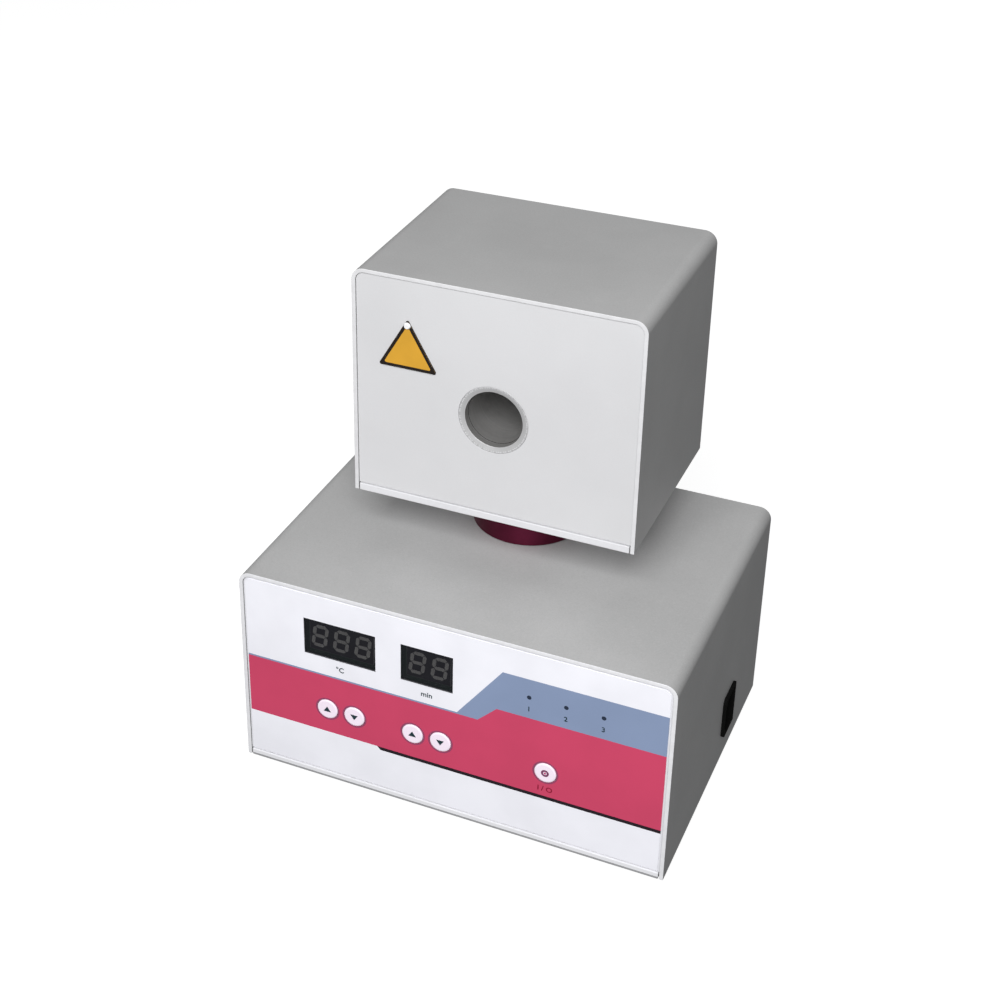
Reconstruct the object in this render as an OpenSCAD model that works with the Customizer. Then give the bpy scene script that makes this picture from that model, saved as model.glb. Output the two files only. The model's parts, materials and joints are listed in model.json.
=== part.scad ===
// Bench furnace that softens denture resin in its cartridge: a control box
// below, and a furnace head that turns on a round column above it.
// All sizes are millimetres. The front faces -Y, and the feet stand on z = 0.
// The origin is on the surface it stands on, under the middle of the control box.

/* [Control box] */
// Width of the control box
base_w = 244; // [230:1:300]
// Depth of the control box, front edge to back edge
base_d = 178; // [165:1:220]
// Height of the control box without its feet
base_h = 124; // [118:1:160]
// Clear height under the control box
foot_h = 6; // [4:0.5:14]
// Radius of a rubber foot at its top
foot_r = 9.5; // [7:0.5:14]

/* [Furnace head] */
// Width of the furnace head
head_w = 158; // [145:1:200]
// Depth of the furnace head, front edge to back edge
head_d = 118; // [114:1:160]
// Height of the furnace head
head_h = 132; // [124:1:170]
// Free height between the control box and the head
column_gap = 31.5; // [20:0.5:60]
// How far the column stands behind the middle of the control box
column_y = 26; // [10:1:29]

/* [Sheet metal] */
// Thickness of the folded covers
sheet_t = 2.2; // [1.5:0.1:3]
// Thickness of the trays that close the boxes below
tray_t = 1.8; // [1.2:0.1:2.5]
// Thickness of the front and back panels
panel_t = 2; // [1.5:0.1:3]
// Outer radius of the folded top edges
corner_r = 7; // [5:0.5:12]
// Width of the edge that is turned in under each side wall
flange_w = 12; // [10:0.5:16]
// How far a panel lies behind the edge of its cover
panel_recess = 0.8; // [0.5:0.1:2]
// Gap between a panel and the cover around it
panel_gap = 0.15; // [0.1:0.05:0.8]

/* [Front] */
// Height of both display windows
window_h = 23; // [21:0.5:28]
// Width of the window with three digits
window3_w = 42.3; // [40:0.1:46]
// Width of the window with two digits
window2_w = 29.8; // [27:0.1:34]
// Middle of the three-digit window, from the left end of the front
window3_in = 59.5; // [54:0.1:62]
// Middle of the two-digit window, from the left end of the front
window2_in = 110.2; // [106:0.1:114]
// Height of the windows' middle above the box's underside
display_z = 93.3; // [90:0.1:98]
// Radius of a key
key_r = 6; // [5:0.1:7]
// Distance between the two keys of a pair
key_pitch = 16.2; // [16:0.1:20]
// Height of the keys above the box's underside
key_z = 47.8; // [44:0.1:54]
// Middle of the single key, from the right end of the front
power_key_in = 66.4; // [42:0.1:77]
// How far a key travels
key_travel = 0.5; // [0.3:0.1:1]
// Distance between two indicator lamps
lamp_pitch = 20; // [12:0.5:24]
// Middle lamp, from the right end of the front
lamp_in = 56.7; // [47:0.1:67]
// Thickness of the printed film on the front
film_t = 0.4; // [0.2:0.1:0.6]

/* [Column] */
// Radius of the column
column_r = 31; // [28:0.5:40]
// Outer radius of the hollow spindle
spindle_r = 10; // [9:0.5:12]
// Wall of the hollow spindle
spindle_wall = 3; // [2:0.5:4]
// Angle the head turns to each side
swing = 90; // [30:5:150]
// Radius of the stop pin
stop_pin_r = 2; // [1.5:0.1:2.5]

/* [Furnace] */
// Radius of the bore that takes the cartridge
bore_r = 15.6; // [12:0.1:18]
// Depth of the bore
bore_depth = 80; // [60:1:84]
// Height of the bore's middle above the head's underside
bore_z = 60; // [58:0.5:70]
// Width of the pale rim around the bore
mouth_rim = 3.2; // [1.5:0.1:4]
// How deep that rim slopes towards the bore
mouth_slope = 0.8; // [0.4:0.1:3]
// Radius of the heating block
block_r = 32; // [28:0.5:33]
// Thickness of the block behind the bore
block_end = 10; // [8:0.5:14]
// Thickness of a band heater
heater_t = 3; // [2:0.5:4]
// Thickness of the insulation
insulation_t = 10; // [6:0.5:10]

/* [Front tag] */
// Length of the tag's sides
tag_side = 33; // [24:0.5:36]
// Thickness of the tag
tag_t = 0.8; // [0.5:0.1:1.5]
// Middle of the tag, from the left end of the head
tag_in = 31.4; // [29:0.1:35]
// Height of the tag's lower edge above the head's underside
tag_z = 79.7; // [70:0.1:88]

/* [Mains inlet] */
// Width of the inlet's rim, along the side of the box
inlet_w = 20.2; // [19.8:0.2:26]
// Height of the inlet's rim
inlet_h = 26.8; // [26.4:0.2:34]
// How far the rim stands out from the side
inlet_flange_t = 1.8; // [1:0.1:3]
// Place of the inlet behind the middle of the box
inlet_y = 23; // [10:1:50]
// Height of the inlet's middle above the box's underside
inlet_z = 30; // [26:0.1:45]

/* [Hidden] */
$fn = 72;

// Clearances
slip = 0.2;                 // between sheet parts that slide together
running = 0.05;             // between the spindle and the column's bore
key_gap = 0.3;              // around a key in the front
seat_gap = 0.1;             // around parts that are pushed into a cut-out
tray_gap = 0.6;             // between a tray and the side walls of its cover
panel_lift = 0.5;           // between a panel's lower edge and the tray
over = 1;                   // how far a cutter passes a face

// Levels and faces that several parts share
base_z = foot_h;
base_top = base_z + base_h;
base_deck = base_z + sheet_t + tray_t;
base_front = -base_d / 2;
base_face = base_front + panel_recess;
base_inside = base_face + panel_t;
head_z = base_top + column_gap;
head_deck = head_z + sheet_t + tray_t;
head_front = column_y - head_d / 2;
head_face = head_front + panel_recess;
head_inside = head_face + panel_t;
inner_r = corner_r - sheet_t;

// Machine screws of 3 mm and their nuts
screw_r = 1.5;
screw_head_r = 2.8;
screw_head_t = 1.6;
nut_flats = 5.5;
nut_t = 2.4;
screw_past_nut = 0.6;

// Feet and the screws under the boxes
foot_taper = 1;
foot_bore_r = 3.4;
foot_web = 3;
foot_margin = 2;
foot_inset = 15;
foot_x = base_w / 2 - flange_w - foot_r - foot_margin;
foot_y = base_d / 2 - foot_r - foot_inset;
rim_screw_inset = 24;
tab_w = 22;
tab_d = 12;
tab_screw_y = 7;
base_tab_in = 37;
head_tab_in = 22;
base_tab_x = base_w / 2 - base_tab_in;
head_tab_x = head_w / 2 - head_tab_in;

// Vents in the back panels
vent_pitch = 8;
vent_w = 3;
vent_h = 26;
vent_up = 6;
base_vent_margin = 50;
head_vent_margin = 35;

// Front: keys, lamps, digits and board, with the windows left of the middle
window3_x = base_w / 2 - window3_in;
window2_x = base_w / 2 - window2_in;
power_key_x = base_w / 2 - power_key_in;
lamp_x = base_w / 2 - lamp_in;
key_places = [
    -window3_x - key_pitch / 2, -window3_x + key_pitch / 2,
    -window2_x - key_pitch / 2, -window2_x + key_pitch / 2, power_key_x
];
key_proud = 0.6;
key_flange = 1.5;
key_flange_t = 1.2;
key_stem_r = 2;
key_dome = 0.35;
key_crown = 1;
lens_lip = 0.8;
lens_t = 1.5;
digit_w = 12.7;
digit_h = 14.2;
digit_case_h = 19;
digit_case_t = 8;
digit_air = 0.3;
segment_t = 1.9;
segment_proud = 0.1;
digit_slant = 8;
digit_reach = 0.25;
segment_gap = 0.4;
board_t = 1.6;
board_front = base_inside + digit_air + digit_case_t;
board_margin = 10;
board_left = -window3_x - window3_w / 2 - board_margin;
board_right = lamp_x + lamp_pitch + board_margin;
board_low = base_z + key_z - key_r - board_margin;
board_above = 5;
board_high = base_z + display_z + window_h / 2 + board_above;
board_hole_in = 4;
board_screw_len = 5;
spacer_r = 2.75;
spacer_floor = 1;
chip_w = 10;
chip_h = 26;
chip_t = 4;
chip_up = 12;
plug_w = 26;
plug_h = 6;
plug_t = 7;
plug_in = 15;
switch_side = 6;
switch_t = 3.5;
switch_gap = 0.1;
lamp_r = 1.5;
lamp_len = 4;
lamp_hole_r = 1.25;
lamp_leg_x = 0.8;
lamp_leg_r = 0.3;

// Printed fields of the film, in heights above the box's underside
print_low = 32.2;
print_high = 69.8;
print_step = 10.4;
print_top = 104.7;
print_past_window = 1.7;
print_slope_x = window2_w / 2 - window2_x + print_past_window;
print_slope_run = 25.8;
print_flat = 12.5;
print_step_x = print_slope_x + print_flat;
print_line_t = 1;
print_bar_t = 2.1;
print_bar_in = 81;
print_bar_x = print_bar_in - base_w / 2;
film_margin = 1.05;
film_w = base_w - 2 * (sheet_t + panel_gap + film_margin);

// Mains inlet
inlet_body_d = 21;
inlet_shoulder = 0.8;
inlet_body_w = inlet_w - 2 * inlet_shoulder;
inlet_body_h = inlet_h - 2 * inlet_shoulder;
inlet_corner = 2.4;
cavity_wall = 2;
cavity_d = 17;
cavity_corner = 4;
pin_short = 2;
pin_long = 4;
pin_spread = 7;
pin_offset = 2;
pin_back = 5;
pin_tail = 8;

// Power board
power_w = 110;
power_d = 78;
power_gap = 8;
power_y = column_y + 4;
power_clip = 1.5;
terminal_w = 22;
terminal_h = 12;
power_top = base_deck + power_gap + board_t;
core_w = 40;
core_d = 32;
core_h = 34;
core_leg = 12;
core_yoke = 6;
core_slot = 6;
core_gap = 8;
coil_proud = 7;
relay_w = 28;
relay_d = 13;
relay_h = 16;
relay_x = 20;
relay_y = 30;
fuse_x = 40;
fuse_y = 32;
fuse_z = 6;
fuse_r = 2.6;
fuse_len = 18;
clip_t = 4;
clip_side = 9;

// Column and spindle
plate_t = 3;
plate_side = 84;
column_screw_r = 2;
column_screw_pcr = 24;
column_screw_depth = 14;
column_screw_free = 2;
column_head_r = 3.5;
column_head_t = 2.4;
column_chamfer = 0.8;
washer_t = 1;
washer_rim = 7;
washer_r = spindle_r + washer_rim;
head_under = head_z + sheet_t;
column_top = head_under - washer_t;
plate_low = base_top - sheet_t - plate_t;
spring_t = 1.2;
spring_rim = 5;
spindle_nut_t = 6;
spindle_nut_rim = 5;
spindle_past_nut = 4;
spindle_end = plate_low - spring_t - spindle_nut_t - spindle_past_nut;
spindle_flange_w = 8;
spindle_flange_r = spindle_r + spindle_flange_w;
spindle_flange_t = 3;
spindle_screw_in = 3.5;
spindle_screw_pcr = spindle_flange_r - spindle_screw_in;
stop_pcr = washer_r + 2 * stop_pin_r + 2;
stop_depth = 5;
stop_room = 0.5;
loom_r = 2.5;
loom_bend = 6;
loom_gap = 1;
loom_level = head_deck + spindle_flange_t + loom_r + loom_gap;

// Furnace
bore_mid = head_z + bore_z;
ring_t = 5;
ring_lip_t = 0.35;
ring_rim = 5.45;
ring_nose_r = bore_r + mouth_rim + ring_lip_t;
ring_flange_r = ring_nose_r + ring_rim;
ring_bore_gap = 0.25;
block_front = head_face + ring_t;
block_len = bore_depth + block_end;
spigot_len = 6;
spigot_step = 4;
spigot_r = block_r - spigot_step;
body_front = block_front + spigot_len;
body_len = block_len - 2 * spigot_len;
block_back = block_front + block_len;
heater_gap = 4;
heater_w = (body_len - 3 * heater_gap) / 2;
heater_r = block_r + heater_t;
heater_split = 6;
ear_t = 2;
ear_h = 9;
sleeve_gap = 1;
sleeve_in = heater_r + sleeve_gap;
sleeve_out = sleeve_in + insulation_t;
sleeve_slot = 22;
bracket_t = 2;
bracket_rim = 8;
bracket_foot = 12;
bracket_notch = 8;
bracket_screw_x = 22;
probe_r = 1.5;
probe_place = (bore_r + spigot_r) / 2;
probe_depth = 30;
probe_tail = 6;
probe_nut_t = 3;
cutout_r = 8;
cutout_t = 6;
blade_x = 4;
blade_t = 0.8;
blade_side = 6;
heater_terminal_w = 30;
heater_terminal_t = 14;
heater_terminal_h = 17;
heater_terminal_hole_r = 2.5;
heater_terminal_gap = 1.5;
heater_terminal_y = block_back + heater_terminal_gap;

// Tag
tag_x = head_w / 2 - tag_in;
tag_height = tag_side * sin(60);
tag_corner = 1;
rivet_r = 2;
rivet_shank_r = 1.2;
rivet_drop = 3.6;
rivet_head_t = 1;

// Stands a front-view outline up, from y0 back over a depth
module upright(y0, depth) {
    translate([0, y0 + depth, 0]) rotate([90, 0, 0]) linear_extrude(depth) children();
}

// Round bar or hole along Y, from y0 back over a length
module rod_y(x, y0, z, r, length) {
    translate([x, y0, z]) rotate([-90, 0, 0]) cylinder(r = r, h = length);
}

// Front-view outline with round top corners
module round_top(w, z0, z1, r) {
    translate([-w / 2, z0]) square([w, z1 - z0 - r]);
    translate([r - w / 2, z0]) square([w - 2 * r, z1 - z0]);
    for (side = [-1, 1]) translate([side * (w / 2 - r), z1 - r]) circle(r);
}

// Screw that points up, with its washer face at the origin
module screw_up(r, length, head_r, head_t) {
    cylinder(r = r, h = length);
    translate([0, 0, -head_t]) cylinder(r = head_r, h = head_t);
}

module hex_nut(r, flats, t) {
    difference() {
        cylinder(r = flats / 2 / cos(30), h = t, $fn = 6);
        translate([0, 0, -over]) cylinder(r = r, h = t + 2 * over);
    }
}

// Places under a box where its cover is screwed to its tray
module at_rim_screws(w, y_front, d, z) {
    for (side = [-1, 1], y = [y_front + rim_screw_inset, y_front + d - rim_screw_inset])
        translate([side * (w / 2 - flange_w / 2), y, z]) children();
}

// Places under a box where its panels' tabs are screwed to the tray
module at_tab_screws(tab_x, y_front, d, z) {
    inset = panel_recess + panel_t + tab_screw_y;
    for (x = [-tab_x, tab_x], y = [y_front + inset, y_front + d - inset])
        translate([x, y, z]) children();
}

// Folded cover: an upside-down U whose lower edges are turned in
module cover_shell(w, y_front, d, z0, h) {
    difference() {
        union() {
            difference() {
                upright(y_front, d) round_top(w, z0, z0 + h, corner_r);
                upright(y_front - over, d + 2 * over)
                    round_top(w - 2 * sheet_t, z0 - over, z0 + h - sheet_t, inner_r);
            }
            for (side = [-1, 1])
                translate([side * (w - flange_w) / 2, y_front + d / 2, z0 + sheet_t / 2])
                    cube([flange_w, d - 2 * (tray_t + slip), sheet_t], center = true);
        }
        at_rim_screws(w, y_front, d, z0 - over) cylinder(r = screw_r + slip, h = sheet_t + 2 * over);
    }
}

// Tray that closes a box below, with a lip down at the front and the back
module tray_shell(w, y_front, d, z0, tab_x) {
    plate_w = w - 2 * (sheet_t + tray_gap);
    hole_z = z0 + sheet_t - over;
    difference() {
        union() {
            translate([-plate_w / 2, y_front, z0 + sheet_t]) cube([plate_w, d, tray_t]);
            for (y = [y_front, y_front + d - tray_t])
                translate([-plate_w / 2, y, z0]) cube([plate_w, tray_t, sheet_t + tray_t]);
        }
        at_rim_screws(w, y_front, d, hole_z) cylinder(r = screw_r + running, h = tray_t + 2 * over);
        at_tab_screws(tab_x, y_front, d, hole_z) cylinder(r = screw_r + running, h = tray_t + 2 * over);
    }
}

// Front or back panel with tabs turned in along the tray; inward is 1 or -1
module panel_shell(w, y, z0, h, tab_x, inward) {
    deck = z0 + sheet_t + tray_t;
    y_tab = inward > 0 ? y + panel_t / 2 : y + panel_t / 2 - tab_d;
    y_hole = inward > 0 ? y + panel_t + tab_screw_y : y - tab_screw_y;
    edge = sheet_t + panel_gap;
    difference() {
        union() {
            upright(y, panel_t)
                round_top(w - 2 * edge, deck + panel_lift, z0 + h - edge, inner_r - panel_gap);
            for (x = [-tab_x, tab_x])
                translate([x - tab_w / 2, y_tab, deck]) cube([tab_w, tab_d, panel_t]);
        }
        for (x = [-tab_x, tab_x])
            translate([x, y_hole, deck - over]) cylinder(r = screw_r + running, h = panel_t + 2 * over);
    }
}

// Screws and nuts that close one box from below
module box_screws(w, y_front, d, z0, tab_x) {
    at_rim_screws(w, y_front, d, z0)
        screw_up(screw_r, sheet_t + tray_t + nut_t + screw_past_nut, screw_head_r, screw_head_t);
    at_tab_screws(tab_x, y_front, d, z0 + sheet_t)
        screw_up(screw_r, tray_t + panel_t + nut_t + screw_past_nut, screw_head_r, screw_head_t);
}

module box_nuts(w, y_front, d, z0, tab_x) {
    deck = z0 + sheet_t + tray_t;
    at_rim_screws(w, y_front, d, deck) hex_nut(screw_r, nut_flats, nut_t);
    at_tab_screws(tab_x, y_front, d, deck + panel_t) hex_nut(screw_r, nut_flats, nut_t);
}

// Two rows of upright vent slots with round ends, in a front view
module vent_slots(w, margin, z_mid) {
    columns = floor((w - 2 * margin) / vent_pitch);
    straight = vent_h - vent_w;
    for (i = [0 : columns - 1], row = [-1, 1])
        translate([(i - (columns - 1) / 2) * vent_pitch, z_mid + row * (vent_h / 2 + vent_w)]) {
            square([vent_w, straight], center = true);
            for (end = [-1, 1]) translate([0, end * straight / 2]) circle(vent_w / 2);
        }
}

// Control box
module at_inlet(x) {
    translate([x, inlet_y, base_z + inlet_z]) rotate([0, 90, 0]) rotate([0, 0, 90]) children();
}

module at_column_screws(z) {
    for (a = [45 : 90 : 315])
        translate([column_screw_pcr * cos(a), column_y + column_screw_pcr * sin(a), z]) children();
}

module base_cover() {
    color("darkgray") difference() {
        cover_shell(base_w, base_front, base_d, base_z, base_h);
        at_inlet(base_w / 2 - sheet_t - over)
            linear_extrude(sheet_t + 2 * over)
                inlet_outline(inlet_body_w + 2 * seat_gap, inlet_body_h + 2 * seat_gap, inlet_corner);
        translate([0, column_y, base_top - sheet_t - over])
            cylinder(r = spindle_r + over, h = sheet_t + 2 * over);
        at_column_screws(base_top - sheet_t - over)
            cylinder(r = column_screw_r + seat_gap, h = sheet_t + 2 * over);
    }
}

module at_feet(z) {
    for (x = [-foot_x, foot_x], y = [-foot_y, foot_y]) translate([x, y, z]) children();
}

module at_power_spacers(z) {
    for (x = [-1, 1], y = [-1, 1])
        translate([x * (power_w / 2 - board_hole_in), power_y + y * (power_d / 2 - board_hole_in), z])
            children();
}

module base_tray() {
    color("gainsboro") difference() {
        tray_shell(base_w, base_front, base_d, base_z, base_tab_x);
        at_feet(base_z + sheet_t - over) cylinder(r = screw_r + running, h = tray_t + 2 * over);
    }
}

module window_cut(x, w) {
    translate([x, base_z + display_z]) square([w, window_h], center = true);
}

module key_cuts(r) {
    for (x = key_places) translate([x, base_z + key_z]) circle(r);
}

module lamp_cuts(r) {
    for (i = [-1 : 1]) translate([lamp_x + i * lamp_pitch, base_z + display_z]) circle(r);
}

module base_front_panel() {
    lip = 2 * lens_lip;
    color("white") difference() {
        panel_shell(base_w, base_face, base_z, base_h, base_tab_x, 1);
        upright(base_face - over, panel_t + 2 * over) {
            for (win = [[-window3_x, window3_w], [-window2_x, window2_w]])
                translate([win[0], base_z + display_z])
                    square([win[1] + lip + 2 * seat_gap, window_h + lip + 2 * seat_gap], center = true);
            key_cuts(key_r + key_gap);
            lamp_cuts(lamp_r + seat_gap);
        }
    }
}

module base_back_panel() {
    color("gainsboro") difference() {
        panel_shell(base_w, base_d / 2 - panel_recess - panel_t, base_z, base_h, base_tab_x, -1);
        upright(base_d / 2 - panel_recess - panel_t - over, panel_t + 2 * over)
            vent_slots(base_w, base_vent_margin, base_z + base_h / 2 + vent_up);
    }
}

module base_feet() {
    color("dimgray") at_feet(0) difference() {
        cylinder(r1 = foot_r - foot_taper, r2 = foot_r, h = foot_h + sheet_t);
        translate([0, 0, -over]) cylinder(r = screw_r + slip, h = foot_h + sheet_t + 2 * over);
        translate([0, 0, -over]) cylinder(r = foot_bore_r, h = foot_h + sheet_t - foot_web + over);
    }
}

module foot_screws() {
    color("silver") {
        at_feet(foot_h + sheet_t - foot_web)
            screw_up(screw_r, foot_web + tray_t + nut_t + screw_past_nut, screw_head_r, screw_head_t);
        at_feet(base_deck) hex_nut(screw_r, nut_flats, nut_t);
    }
}

module base_screws() {
    color("silver") box_screws(base_w, base_front, base_d, base_z, base_tab_x);
}

module base_nuts() {
    color("silver") box_nuts(base_w, base_front, base_d, base_z, base_tab_x);
}

// Printed film over the front; its fields meet edge to edge
module red_field() {
    right = film_w / 2;
    polygon([
        [-right, base_z + print_low], [right, base_z + print_low],
        [right, base_z + print_high + print_step],
        [print_step_x + print_step, base_z + print_high + print_step],
        [print_step_x, base_z + print_high], [-right, base_z + print_high]
    ]);
}

module blue_field() {
    right = film_w / 2;
    polygon([
        [print_slope_x, base_z + print_high], [print_step_x, base_z + print_high],
        [print_step_x + print_step, base_z + print_high + print_step],
        [right, base_z + print_high + print_step], [right, base_z + print_top],
        [print_slope_x + print_slope_run, base_z + print_top]
    ]);
    translate([-right, base_z + print_high]) square([right + print_slope_x, print_line_t]);
}

module black_field() {
    right = film_w / 2;
    polygon([
        [print_bar_x, base_z + print_low], [right, base_z + print_low],
        [right, base_z + print_low - print_bar_t],
        [print_bar_x + print_bar_t, base_z + print_low - print_bar_t]
    ]);
}

module film_outline() {
    edge = sheet_t + panel_gap + film_margin;
    difference() {
        round_top(film_w, base_deck + film_margin, base_top - edge, inner_r - panel_gap - film_margin);
        window_cut(-window3_x, window3_w);
        window_cut(-window2_x, window2_w);
        key_cuts(key_r + key_gap);
        lamp_cuts(lamp_hole_r);
    }
}

module film_part() {
    upright(base_face - film_t, film_t) intersection() {
        film_outline();
        children();
    }
}

module front_film() {
    color("crimson") film_part() red_field();
    color("lightsteelblue") film_part() blue_field();
    color("black") film_part() black_field();
    color("ghostwhite") upright(base_face - film_t, film_t) difference() {
        film_outline();
        red_field();
        blue_field();
        black_field();
    }
}

module window_lens(x, w) {
    color("dimgray", 0.6) upright(base_face, lens_t)
        translate([x, base_z + display_z])
            square([w + 2 * lens_lip, window_h + 2 * lens_lip], center = true);
}

module temperature_window() {
    window_lens(-window3_x, window3_w);
}

module time_window() {
    window_lens(-window2_x, window2_w);
}

// One bar of a digit, with pointed ends, lying along X
module segment_bar(length) {
    half = segment_t / 2;
    polygon([
        [-length / 2, 0], [half - length / 2, half], [length / 2 - half, half],
        [length / 2, 0], [length / 2 - half, -half], [half - length / 2, -half]
    ]);
}

module digit_segments() {
    half_h = (digit_h - segment_t) / 2;
    half_w = digit_h * digit_reach;
    bar = half_h - segment_gap;
    for (z = [-half_h, 0, half_h])
        translate([z * tan(digit_slant), z]) segment_bar(2 * half_w - 1.5 * segment_gap);
    for (x = [-half_w, half_w], z = [-half_h / 2, half_h / 2])
        translate([x + z * tan(digit_slant), z]) rotate(90 - digit_slant) segment_bar(bar);
}

// Case with one or more digits, and its two rows of legs in the board
module digit_module(x, digits) {
    front = base_inside + digit_air;
    color("dimgray") {
        upright(front, digit_case_t)
            translate([x, base_z + display_z]) square([digits * digit_w, digit_case_h], center = true);
        for (i = [0 : digits - 1])
            upright(front - segment_proud, segment_proud)
                translate([x + (i - (digits - 1) / 2) * digit_w, base_z + display_z]) digit_segments();
    }
}

module temperature_display() {
    digit_module(-window3_x, 3);
}

module time_display() {
    digit_module(-window2_x, 2);
}

// Key cap with a shallow dome, a flange behind the panel and a stem to its switch
module key(i) {
    front = base_face - film_t - key_proud;
    stem_end = board_front - switch_t - switch_gap - key_travel;
    color("white") translate([key_places[i], front, base_z + key_z]) rotate([-90, 0, 0])
        rotate_extrude() polygon([
            [0, 0], [key_r - key_crown, 0], [key_r, key_dome],
            [key_r, base_inside - front], [key_r + key_flange, base_inside - front],
            [key_r + key_flange, base_inside - front + key_flange_t],
            [key_stem_r, base_inside - front + key_flange_t],
            [key_stem_r, stem_end - front], [0, stem_end - front]
        ]);
}

module key_temperature_up() {
    key(0);
}

module key_temperature_down() {
    key(1);
}

module key_time_up() {
    key(2);
}

module key_time_down() {
    key(3);
}

module key_power() {
    key(4);
}

module key_switches() {
    color("black") for (x = key_places)
        translate([x, board_front - switch_t / 2, base_z + key_z])
            cube([switch_side, switch_t, switch_side], center = true);
}

module indicator_lamps() {
    color("darkred") for (i = [-1 : 1]) {
        x = lamp_x + i * lamp_pitch;
        z = base_z + display_z;
        lamp_end = base_face + lamp_r + lamp_len;
        rod_y(x, base_face + lamp_r, z, lamp_r, lamp_len);
        translate([x, base_face + lamp_r, z]) sphere(lamp_r);
        for (leg = [-lamp_leg_x, lamp_leg_x])
            rod_y(x + leg, lamp_end, z, lamp_leg_r, board_front - lamp_end);
    }
}

module at_board_spacers() {
    for (x = [board_left + board_hole_in, board_right - board_hole_in],
         z = [board_low + board_hole_in, board_high - board_hole_in])
        translate([x, 0, z]) children();
}

module control_board() {
    color("seagreen") difference() {
        translate([board_left, board_front, board_low])
            cube([board_right - board_left, board_t, board_high - board_low]);
        at_board_spacers() rod_y(0, board_front - over, 0, screw_r + seat_gap, board_t + 2 * over);
    }
    color("black") translate([-window2_x - chip_w / 2, board_front + board_t, base_z + key_z + chip_up])
        cube([chip_w, chip_t, chip_h]);
    color("white") translate([power_key_x - plug_in, board_front + board_t, base_z + key_z])
        cube([plug_w, plug_t, plug_h]);
}

module board_spacers() {
    color("silver") at_board_spacers() difference() {
        rod_y(0, base_inside, 0, spacer_r, board_front - base_inside);
        rod_y(0, base_inside + spacer_floor, 0, screw_r, board_front - base_inside);
    }
}

module board_screws() {
    color("silver") at_board_spacers() {
        rod_y(0, board_front - board_screw_len, 0, screw_r, board_screw_len + board_t);
        rod_y(0, board_front + board_t, 0, screw_head_r, screw_head_t);
    }
}

// Mains inlet, pushed in from the side; its long way stands upright, its cut corners face the front
module inlet_outline(w, h, cut) {
    polygon([
        [w / 2, -h / 2], [cut - w / 2, -h / 2], [-w / 2, cut - h / 2],
        [-w / 2, h / 2 - cut], [cut - w / 2, h / 2], [w / 2, h / 2]
    ]);
}

module mains_inlet() {
    side = base_w / 2;
    face = side + inlet_flange_t;
    color("black") difference() {
        union() {
            at_inlet(side) linear_extrude(inlet_flange_t) inlet_outline(inlet_w, inlet_h, inlet_corner);
            at_inlet(side - inlet_body_d) linear_extrude(inlet_body_d)
                inlet_outline(inlet_body_w, inlet_body_h, inlet_corner);
        }
        at_inlet(face - cavity_d) linear_extrude(cavity_d + over)
            inlet_outline(inlet_body_w - cavity_wall, inlet_body_h - cavity_wall, cavity_corner);
        for (pin = [-1 : 1])
            at_inlet(side - inlet_body_d - over)
                linear_extrude(inlet_body_d) pin_outline(pin);
    }
}

module pin_outline(pin) {
    translate([(pin == 0 ? -pin_offset : pin_offset), pin * pin_spread])
        square([pin_long, pin_short], center = true);
}

module inlet_pins() {
    side = base_w / 2;
    start = side - inlet_body_d - pin_tail;
    color("silver") for (pin = [-1 : 1])
        at_inlet(start) linear_extrude(side + inlet_flange_t - pin_back - start) pin_outline(pin);
}

module power_board() {
    color("seagreen") difference() {
        translate([-power_w / 2, power_y - power_d / 2, base_deck + power_gap])
            cube([power_w, power_d, board_t]);
        at_power_spacers(base_deck + power_gap - over)
            cylinder(r = screw_r + running, h = board_t + 2 * over);
    }
}

// Spacers with a spigot that clips through the board
module power_board_spacers() {
    color("ivory") at_power_spacers(base_deck) {
        cylinder(r = spacer_r, h = power_gap);
        cylinder(r = screw_r, h = power_gap + board_t + power_clip);
    }
}

// Laminated core with its coil through both slots
module mains_transformer() {
    coil_w = core_w - 2 * core_leg;
    color("silver") translate([-power_w / 2 - core_gap - core_w, power_y - core_d / 2, base_deck]) {
        difference() {
            cube([core_w, core_d, core_h]);
            for (z = [core_yoke, core_h - core_yoke - core_slot])
                translate([core_leg, -over, z]) cube([coil_w, core_d + 2 * over, core_slot]);
        }
        translate([core_leg, -coil_proud, core_yoke])
            cube([coil_w, core_d + 2 * coil_proud, core_h - 2 * core_yoke]);
    }
}

module heater_relay() {
    color("royalblue") translate([relay_x, power_y - relay_y, power_top]) cube([relay_w, relay_d, relay_h]);
}

module fuse_holder() {
    translate([-fuse_x, power_y - fuse_y, power_top]) {
        color("black") for (x = [0, clip_t + fuse_len]) translate([x, 0, 0])
            cube([clip_t, clip_side, clip_side]);
        color("azure") translate([clip_t, clip_side / 2, fuse_z]) rotate([0, 90, 0])
            cylinder(r = fuse_r, h = fuse_len);
    }
}

module loom_terminal() {
    color("forestgreen") translate([0, column_y, power_top + terminal_h / 2])
        cube([terminal_w, terminal_h, terminal_h], center = true);
}

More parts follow.
